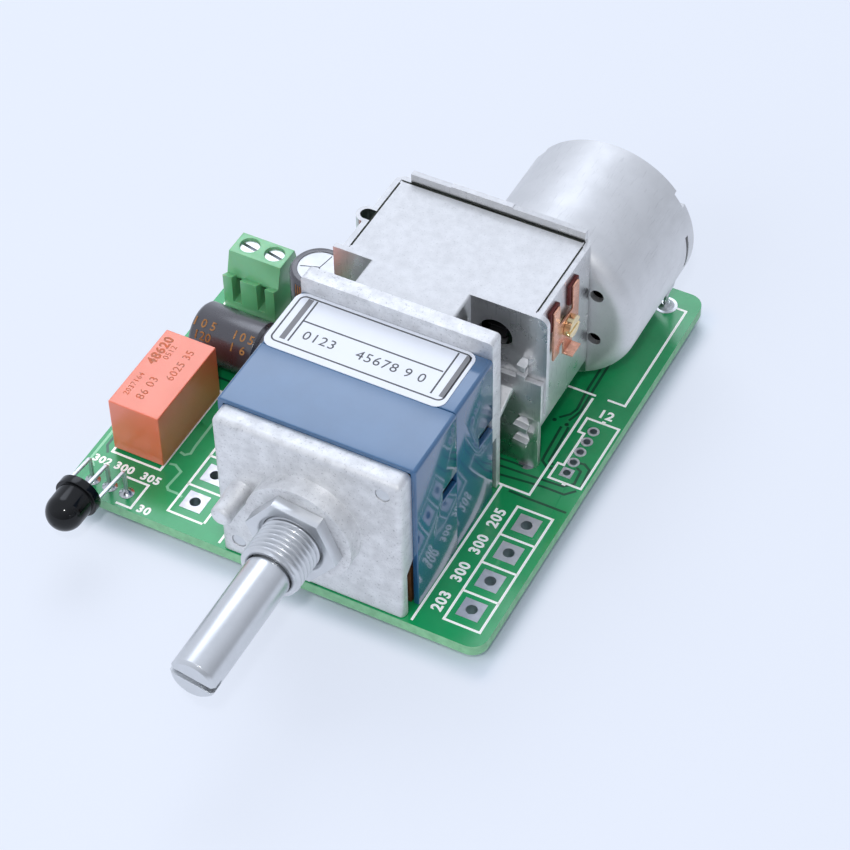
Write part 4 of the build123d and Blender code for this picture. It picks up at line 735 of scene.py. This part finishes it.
class BOARD_OT_bushing(bpy.types.Operator):
    """Makes the threaded bushing and its nut"""
    bl_idname = "volume_board.bushing"
    bl_label = "Bushing and nut"

    wall, bore_chamfer, front_chamfer = 0.97, 0.2, 0.35
    # How deep the thread may cut, where it starts, and how far it runs on behind the nut's front
    deepest, thread_start, past_nut = 0.6, -0.5, 0.6
    nut_corner, nut_turn, nut_countersink, nut_play, nut_edge = 6.25, -7.0, 0.5, 0.03, 0.1
    rows_per_turn, steps = 10, 72

    def execute(self, context):
        low, high = board_box("bushing")
        nut_low, nut_high = board_box("panel_nut")
        x, z = (low.x + high.x) / 2, (low.z + high.z) / 2
        radius = (high.x - low.x) / 2
        centre = spot(x, low.y, z)
        mesh = self.bushing(radius, high.y - low.y, nut_low.y - low.y + self.past_nut, centre)
        put("bushing_threaded", mesh, [nickel()], stands_for=["bushing"], crease=50.0)
        nut = self.nut(radius + self.nut_play, nut_high.y - nut_low.y, spot(x, nut_low.y, z))
        put("panel_nut_plated", nut, [nickel()], stands_for=["panel_nut"], crease=21.0)
        return {"FINISHED"}

    def bushing(self, radius, long, threaded, centre):
        bore = radius - self.wall
        pitch = sizes().thread_pitch
        step = pitch / MM / self.rows_per_turn
        outside = [(radius, along) for along in rows(self.front_chamfer, threaded, step)]
        profile = [(bore, long), (bore, self.bore_chamfer), (bore + self.bore_chamfer, 0.0),
                   (radius - self.front_chamfer, 0.0), *outside, (radius, long), (bore, long)]
        mesh = spun(profile, centre, ALONG_Y, self.steps)
        thread(mesh, centre, ALONG_Y, pitch, sizes().thread_depth, self.thread_start * MM, threaded * MM,
               (radius - self.deepest) * MM)
        return mesh

    def nut(self, bore, thick, centre):
        inset = self.nut_countersink
        profile = [(bore, inset), (bore + inset, 0.0), (self.nut_corner, 0.0), (self.nut_corner, thick),
                   (bore, thick), (bore, inset)]
        mesh = spun(profile, centre, ALONG_Y, self.steps)
        flatten(mesh, centre, ALONG_Y, self.nut_corner * MM)
        turn = Matrix.Rotation(math.radians(self.nut_turn), 3, "Y")
        bmesh.ops.rotate(mesh, cent=centre, matrix=turn, verts=mesh.verts)
        join_faces(mesh)
        round_edges(mesh, self.nut_edge)
        return mesh


class BOARD_OT_label(bpy.types.Operator):
    """Makes the label: white film, a frame, bars and plain numbers"""
    bl_idname = "volume_board.label"
    bl_label = "Label"

    film_edge, film_corner = (23.05, 13.15, 47.85, 23.15), 1.4
    frame_edge, frame_corner = (23.65, 14.15, 47.4, 22.7), 0.9
    bar_ends, bar_middles = (14.9, 22.4), (24.75, 46.55)
    rule_middles = (25.88, 45.38)
    middle_rule = [(26.0, 18.85), (45.2, 18.85)]
    line_width, bar_width, ink_height = 0.22 * MM, 0.75 * MM, 0.012 * MM
    # Each number and where its middle lies from the left
    numbers = (("0123", 29.4), ("45678 9 0", 39.2))
    number_row, number_height = 16.6, 1.5

    def execute(self, context):
        low, high = board_box("label")
        film = bmesh.new()
        outline = rounded(*self.film_edge, self.film_corner)
        sheet = film.faces.new([film.verts.new(spot(x, y, low.z)) for x, y in outline])
        raised = bmesh.ops.extrude_face_region(film, geom=[sheet])["geom"]
        top = [item for item in raised if isinstance(item, bmesh.types.BMVert)]
        bmesh.ops.translate(film, verts=top, vec=UP * (high.z - low.z) * MM)
        bmesh.ops.recalc_face_normals(film, faces=film.faces)
        put("label_cut", film, [label_film()], stands_for=["label"])
        fine, bars = bmesh.new(), bmesh.new()
        ink = (self.ink_height, high.z * MM)
        frame_line = rounded(*self.frame_edge, self.frame_corner)
        front, back = self.bar_ends
        wall_line(fine, frame_line, self.line_width, *ink, closed=True)
        for x in self.rule_middles:
            wall_line(fine, [(x, front), (x, back)], self.line_width, *ink)
        wall_line(fine, self.middle_rule, self.line_width, *ink)
        for x in self.bar_middles:
            wall_line(bars, [(x, front), (x, back)], self.bar_width, *ink)
        lift = high.z + self.ink_height / MM / 2
        for text, x in self.numbers:
            number(fine, text, facing_up(x, self.number_row, lift), self.number_height * MM, self.ink_height)
        put("label_print", fine, [film_ink()])
        put("label_bars", bars, [bar_ink()])
        return {"FINISHED"}


class BOARD_OT_gearbox(bpy.types.Operator):
    """Finishes the folded sheet of the gearbox and paints shadow into the gaps beside its cover"""
    bl_idname = "volume_board.gearbox"
    bl_label = "Gearbox"

    # Each painted shadow along a gap beside the cover: its points and its width in millimetres
    gap_shadow_lines = (
        ([(51.7, 30.9), (51.7, 43.6)], 0.2),
        ([(26.2, 44.5), (51.5, 44.5)], 0.25),
        ([(27.3, 44.4), (30.1, 44.4)], 0.4),
        ([(36.0, 44.35), (42.8, 44.35)], 0.55),
        ([(25.9, 31.0), (25.9, 43.9)], 0.25),
    )
    gap_shadow_height = 0.01

    def execute(self, context):
        for node in ("gearbox_cover", "gearbox_frame", "leg_bracket", "inner_bracket"):
            dress(node, plated_sheet(), width=0.12, walls=scuffed_wall())
        gap_shadow_lines = bmesh.new()
        top = board_box("gearbox_cover")[1].z * MM
        for points, width in self.gap_shadow_lines:
            wall_line(gap_shadow_lines, points, width * MM, self.gap_shadow_height * MM, top)
        put("cover_gap_shadows", gap_shadow_lines, [painted_gap_shadow()])
        return {"FINISHED"}


class BOARD_OT_drive(bpy.types.Operator):
    """Makes the worms and finishes the wheels and clutch"""
    bl_idname = "volume_board.drive"
    bl_label = "Worm drive"

    # A shaft's radius, the gap at a thread's ends, and how far above its core the groove stops
    shaft, end_gap, above_core = 1.0, 0.1, 0.05
    rows_per_turn, steps = 12, 48

    def execute(self, context):
        paint(acetal(), "output_wheel", "cross_wheel")
        paint(nickel(), "clutch_hub", "clutch_spring", "motor_shaft")
        self.worm("cross_shaft", ALONG_X, nickel(), "nickel_plate", "cross", span=(6.9, 14.1))
        self.worm("motor_worm", ALONG_Y, brass(), "brass", "armature", span=(0.0, 6.4))
        return {"FINISHED"}

    def worm(self, node, axis, skin, slot, body, span):
        """A worm on its shaft; the span gives where along the shaft its thread runs, in millimetres."""
        low, high = board_box(node)
        middle = (low + high) / 2
        centre = spot(*(middle + axis * (low - middle).dot(axis)))
        long = (high - low).dot(axis)
        core = (high.z - low.z) / 2
        rise = sizes().worm_depth / 2
        crest = core + rise / MM
        first, last = span
        step = sizes().worm_pitch / MM / self.rows_per_turn
        outside = [(crest, along) for along in rows(first + self.end_gap, last - self.end_gap, step)]
        profile = [(0.0, 0.0), (self.shaft, 0.0), (self.shaft, first), (core, first), *outside, (core, last),
                   (self.shaft, last), (self.shaft, long), (0.0, long)]
        mesh = spun(list(dict.fromkeys(profile)), centre, axis, self.steps)
        thread(mesh, centre, axis, sizes().worm_pitch, rise, first * MM, last * MM,
               (core + self.above_core) * MM)
        put(node + "_threaded", mesh, [skin], body, [node])


class BOARD_OT_adjuster(bpy.types.Operator):
    """Finishes the leaf springs, their pads and the brass screw"""
    bl_idname = "volume_board.adjuster"
    bl_label = "Adjuster"

    def execute(self, context):
        dress("leaf_springs", copper_strip(), width=0.08)
        dress("fibre_pads", red_fibre(), width=0.06)
        dress("adjusting_screw", brass(), width=0.12)
        return {"FINISHED"}


class BOARD_OT_motor(bpy.types.Operator):
    """Finishes the motor"""
    bl_idname = "volume_board.motor"
    bl_label = "Motor"

    def execute(self, context):
        dress("motor_can", drawn_can(), width=0.12)
        dress("motor_end_cap", acetal(), width=0.15)
        dress("motor_screws", nickel(), width=0.1)
        paint(ferrite(), "motor_magnets", "rotor_core")
        return {"FINISHED"}


class BOARD_OT_relay(bpy.types.Operator):
    """Finishes the relay and prints plain numbers on it"""
    bl_idname = "volume_board.relay"
    bl_label = "Relay"

    # Each number: its digits, where its middle lies, its height and how far its strokes are widened
    numbers = (
        ("48620", 3.9, 19.0, 1.35, 0.06),
        ("2037164", 3.95, 12.4, 0.8, 0.0),
        ("0512", 5.2, 19.2, 0.85, 0.0),
        ("86 03", 5.9, 12.5, 1.2, 0.0),
        ("6025 35", 7.6, 17.8, 1.15, 0.0),
    )
    ink_height, number_turn = 0.02, 90.0

    def execute(self, context):
        dress("relay_case", orange_case(), width=0.08)
        paint(acetal(), "relay_base")
        paint(copper_strip(), "relay_coil")
        mesh = bmesh.new()
        lift = board_box("relay_case")[1].z + self.ink_height / 2
        for text, x, y, height, weight in self.numbers:
            number(mesh, text, facing_up(x, y, lift, self.number_turn), height * MM, self.ink_height * MM,
                   weight * MM)
        put("relay_print", mesh, [relay_ink()])
        return {"FINISHED"}


class BOARD_OT_terminal(bpy.types.Operator):
    """Finishes the screw terminal"""
    bl_idname = "volume_board.terminal"
    bl_label = "Screw terminal"

    def execute(self, context):
        dress("terminal_housing", green_case(), width=0.16, segments=3)
        for side in ("left", "right"):
            dress("terminal_screw_" + side, nickel(), width=0.1, body="screw_" + side)
            paint(nickel(), "terminal_cage_" + side)
        return {"FINISHED"}


class BOARD_OT_capacitors(bpy.types.Operator):
    """Finishes the two capacitors and prints plain numbers on the lying one"""
    bl_idname = "volume_board.capacitors"
    bl_label = "Capacitors"

    # A can's radius, the axis of the lying one from the board's front, and the place of the upright one
    radius, lying_y, upright = 4.0, 29.0, (16.2, 39.2)
    # Each row: its digits and their distances from the board's left edge, and its angle down from the top
    sleeve_rows = (
        ((("1", 4.2), ("0", 5.5), ("5", 6.9), ("1", 10.2), ("0", 11.35), ("5", 12.6)), 30.0),
        ((("1", 4.9), ("2", 5.8), ("0", 6.7), ("1", 10.3), ("6", 11.9)), 54.0),
    )
    digit_height, digit_ink, digit_weight = 1.2 * MM, 0.03 * MM, 0.02 * MM
    vent_turns, vent_length, vent_width, vent_height = (80.0, 200.0, 320.0), 2.6, 0.12, 0.01
    # The stripe down the upright sleeve: its edges as angles from the front, its ends and its thickness
    stripe_turns, stripe_ends, stripe_thickness = (-24.0, -18.0, -12.0, -6.0), (1.5, 11.3), 0.04

    def execute(self, context):
        dress("capacitor_sleeves", sleeve_film(), width=0.08)
        paint(aluminium(), "capacitor_cans")
        paint(rubber(), "capacitor_bungs")
        mesh = bmesh.new()
        for row, angle in self.sleeve_rows:
            turn = math.radians(angle)
            y, z = self.lying_y - self.radius * math.sin(turn), self.radius * (1 + math.cos(turn))
            for digit, x in row:
                place = Matrix.Translation(spot(x, y, z)) @ Matrix.Rotation(turn, 4, "X")
                number(mesh, digit, place, self.digit_height, self.digit_ink, self.digit_weight)
        put("sleeve_print", mesh, [gold_ink()])
        put("sleeve_stripe", self.stripe(), [stripe_ink()])
        vents = bmesh.new()
        x, y = self.upright
        top = (board_box("capacitor_cans")[1].z + self.vent_height) * MM
        for turn in map(math.radians, self.vent_turns):
            end = (x + self.vent_length * math.cos(turn), y + self.vent_length * math.sin(turn))
            wall_line(vents, [self.upright, end], self.vent_width * MM, self.vent_height * MM, top)
        put("capacitor_vents", vents, [ferrite()])
        return {"FINISHED"}

    def stripe(self):
        """A gold stripe down the upright sleeve, beside the gearbox."""
        mesh = bmesh.new()
        columns = []
        for turn in map(math.radians, self.stripe_turns):
            x = self.upright[0] + self.radius * math.sin(turn)
            y = self.upright[1] - self.radius * math.cos(turn)
            columns.append([mesh.verts.new(spot(x, y, z)) for z in self.stripe_ends])
        faces = [mesh.faces.new((one[0], two[0], two[1], one[1])) for one, two in zip(columns, columns[1:])]
        bmesh.ops.solidify(mesh, geom=faces, thickness=self.stripe_thickness * MM)
        return mesh


class BOARD_OT_sensor(bpy.types.Operator):
    """Finishes the infrared sensor and its leads"""
    bl_idname = "volume_board.sensor"
    bl_label = "Sensor"

    def execute(self, context):
        dress("ir_receiver", epoxy(), width=0.15, segments=3)
        dress("ir_leads", tinned(), width=0.1)
        return {"FINISHED"}


class BOARD_OT_stage(bpy.types.Operator):
    """Sets the floor, the lamps, the surroundings and the camera"""
    bl_idname = "volume_board.stage"
    bl_label = "Studio"

    # Where the camera aims, how far away it stands, and its angles in degrees
    aim, distance = (36.41, 30.12, 0.0), 350.88
    azimuth, elevation, roll = 28.47, 46.98, -1.19
    lens, sensor = 114.34, 36.0
    floor_half_width = 3.0
    # How strongly the paper glows, and over how many millimetres the glow rises beside the board: painted
    # shade, darker where the glow is low
    paper_glow, glow_fade = 0.75, 3.0
    # The board's outline as two rectangles: under them the paper has no glow, which paints shade there
    board_parts = ((0.0, 0.0, 59.7, 45.8), (23.6, 0.0, 59.7, 68.0))
    # What metal mirrors: a sky that brightens along an axis, with a softbox in it
    sky_axis, sky_ends, sky_shade = (-0.62, 0.3, 0.72), (0.2, 0.75), 0.42
    softbox = (-0.39, 0.555, 0.735)
    softbox_edge, softbox_core, softbox_strength = 0.94, 0.985, 3.2
    # The soft light from all sides that everything else gets
    lit_strength = 0.55
    lamp_aim = (30, 20, 8)
    # Each lamp: place and extent in millimetres, watts, and whether glossy surfaces mirror it
    lamps = {
        "key": ((-260.0, 420.0, 560.0), (520.0, 420.0), 3.0, False),
        "fill": ((-120.0, -420.0, 420.0), (420.0, 300.0), 1.4, False),
        "spark": ((164.6, -243.5, 415.6), (24.0, 24.0), 0.5, True),
    }

    def execute(self, context):
        self.floor()
        self.surroundings(context.scene)
        for name, (place, extent, watts, mirrored) in self.lamps.items():
            self.lamp(name, spot(*place), extent, watts, mirrored)
        self.camera(context.scene)
        context.scene.view_settings.view_transform = "Standard"
        return {"FINISHED"}

    def floor(self):
        mesh = bmesh.new()
        bmesh.ops.create_grid(mesh, x_segments=1, y_segments=1, size=self.floor_half_width)
        data = bpy.data.meshes.new("floor")
        mesh.to_mesh(data)
        mesh.free()
        data.materials.append(self.paper())
        floor = bpy.data.objects.new("floor", data)
        bpy.context.scene.collection.objects.link(floor)

    def paper(self):
        # White paper that glows evenly as if lit very hard; the glow is cut under the board and fades in
        # beside it, painting shade there over the real shadows.
        made = surface("white_paper", tints().backdrop, rough=0.9, grain_mm=4.0, depth_mm=0.0)
        links = made.node_tree.links
        surface_input = made.node_tree.nodes["Material Output"].inputs["Surface"]
        shaded = surface_input.links[0].from_socket
        glow = add(made, "Emission", Color=opaque(tints().backdrop), Strength=1.0)
        away = add(made, "Math", {"operation": "MINIMUM"})
        for socket, (left, front, right, back) in zip(away.inputs, self.board_parts):
            links.new(self.distance_from(made, spot(left, front), spot(right, back)), socket)
        share = add(made, "MapRange", {"interpolation_type": "SMOOTHSTEP"}, Value=away.outputs["Value"],
                    From_Max=self.glow_fade * MM, To_Max=self.paper_glow)
        links.new(blend(made, share.outputs["Result"], shaded, glow.outputs["Emission"]), surface_input)
        return made

    def distance_from(self, made, low, high):
        """Adds nodes that give how far a point lies outside a rectangle of the floor."""
        beyond = add(made, "TexCoord").outputs["Object"]
        half = (high - low) / 2
        for operation, amount in (("SUBTRACT", (high + low) / 2), ("ABSOLUTE", None),
                                  ("SUBTRACT", (half.x, half.y, 1.0)), ("MAXIMUM", (0.0, 0.0, 0.0))):
            step = add(made, "VectorMath", {"operation": operation}, Vector=beyond)
            if amount is not None:
                step.inputs[1].default_value = amount
            beyond = step.outputs["Vector"]
        return add(made, "VectorMath", {"operation": "LENGTH"}, Vector=beyond).outputs["Value"]

    def surroundings(self, scene):
        """A plain backdrop for the camera, a sky with a softbox for mirrors, and soft light for the rest."""
        world = bpy.data.worlds.new("studio")
        world.use_nodes = True
        world.node_tree.nodes.clear()
        scene.world = world
        links = world.node_tree.links
        backdrop = opaque(tints().backdrop)
        direction = add(world, "TexCoord").outputs["Generated"]
        level = add(world, "MapRange", Value=self.along(world, direction, self.sky_axis), From_Min=-1.0,
                    From_Max=1.0)
        ramp = add(world, "ValToRGB", Fac=level.outputs["Result"])
        dark, light = ramp.color_ramp.elements
        dark.position, light.position = self.sky_ends
        dark.color = opaque(tints().backdrop, self.sky_shade)
        light.color = backdrop
        inside = add(world, "MapRange", {"interpolation_type": "SMOOTHSTEP"},
                     Value=self.along(world, direction, self.softbox), From_Min=self.softbox_edge,
                     From_Max=self.softbox_core, To_Min=1.0, To_Max=self.softbox_strength)
        lit = add(world, "Background", Color=backdrop, Strength=self.lit_strength)
        seen = add(world, "Background", Color=ramp.outputs["Color"], Strength=inside.outputs["Result"])
        plain = add(world, "Background", Color=backdrop, Strength=1.0)
        path = add(world, "LightPath")
        mirrored = path.outputs["Is Glossy Ray"]
        for operation, other in (("ADD", "Is Transmission Ray"), ("SUBTRACT", "Diffuse Depth")):
            step = add(world, "Math", {"operation": operation, "use_clamp": True})
            links.new(mirrored, step.inputs[0])
            links.new(path.outputs[other], step.inputs[1])
            mirrored = step.outputs["Value"]
        inner = blend(world, mirrored, lit.outputs["Background"], seen.outputs["Background"])
        outer = blend(world, path.outputs["Is Camera Ray"], inner, plain.outputs["Background"])
        add(world, "OutputWorld", Surface=outer)

    def along(self, world, direction, axis):
        """Adds a node that gives how far a direction points along an axis."""
        node = add(world, "VectorMath", {"operation": "DOT_PRODUCT"}, Vector=direction)
        node.inputs[1].default_value = axis
        return node.outputs["Value"]

    def lamp(self, name, place, extent, watts, mirrored):
        light = bpy.data.lights.new(name, "AREA")
        light.shape = "RECTANGLE"
        light.size, light.size_y = extent[0] * MM, extent[1] * MM
        light.energy = watts
        lamp = bpy.data.objects.new(name, light)
        lamp.location = place
        lamp.visible_glossy = mirrored
        lamp.rotation_euler = (spot(*self.lamp_aim) - place).to_track_quat("-Z", "Y").to_euler()
        bpy.context.scene.collection.objects.link(lamp)

    def camera(self, scene):
        turn, rise = math.radians(self.azimuth), math.radians(self.elevation)
        back = Vector((math.sin(turn) * math.cos(rise), -math.cos(turn) * math.cos(rise), math.sin(rise)))
        data = bpy.data.cameras.new("camera")
        data.lens = self.lens
        data.sensor_width = self.sensor
        data.clip_start = 0.01
        camera = bpy.data.objects.new("camera", data)
        camera.matrix_world = (Matrix.Translation(spot(*self.aim) + back * self.distance * MM)
                               @ back.to_track_quat("Z", "Y").to_matrix().to_4x4()
                               @ Matrix.Rotation(math.radians(self.roll), 4, "Z"))
        scene.collection.objects.link(camera)
        scene.camera = camera


class BOARD_PT_panel(bpy.types.Panel):
    """Lists the steps that build the board's looks"""
    bl_label = "Volume control board"
    bl_space_type = "VIEW_3D"
    bl_region_type = "UI"
    bl_category = "Board"

    def draw(self, context):
        for step in STEPS:
            self.layout.operator(step.bl_idname)


STEPS = (BOARD_OT_stage, BOARD_OT_laminate, BOARD_OT_print, BOARD_OT_pads, BOARD_OT_control, BOARD_OT_bushing,
         BOARD_OT_label, BOARD_OT_gearbox, BOARD_OT_drive, BOARD_OT_adjuster, BOARD_OT_motor, BOARD_OT_relay,
         BOARD_OT_terminal, BOARD_OT_capacitors, BOARD_OT_sensor)
CLASSES = (BoardTints, BoardSizes, *STEPS, BOARD_PT_panel)


def register():
    for item in CLASSES:
        bpy.utils.register_class(item)
    bpy.types.Scene.board_tints = PointerProperty(type=BoardTints)
    bpy.types.Scene.board_sizes = PointerProperty(type=BoardSizes)


def unregister():
    del bpy.types.Scene.board_sizes
    del bpy.types.Scene.board_tints
    for item in reversed(CLASSES):
        bpy.utils.unregister_class(item)


def main():
    register()
    for step in STEPS:
        group, action = step.bl_idname.split(".")
        getattr(getattr(bpy.ops, group), action)()


if __name__ == "__main__":
    main()
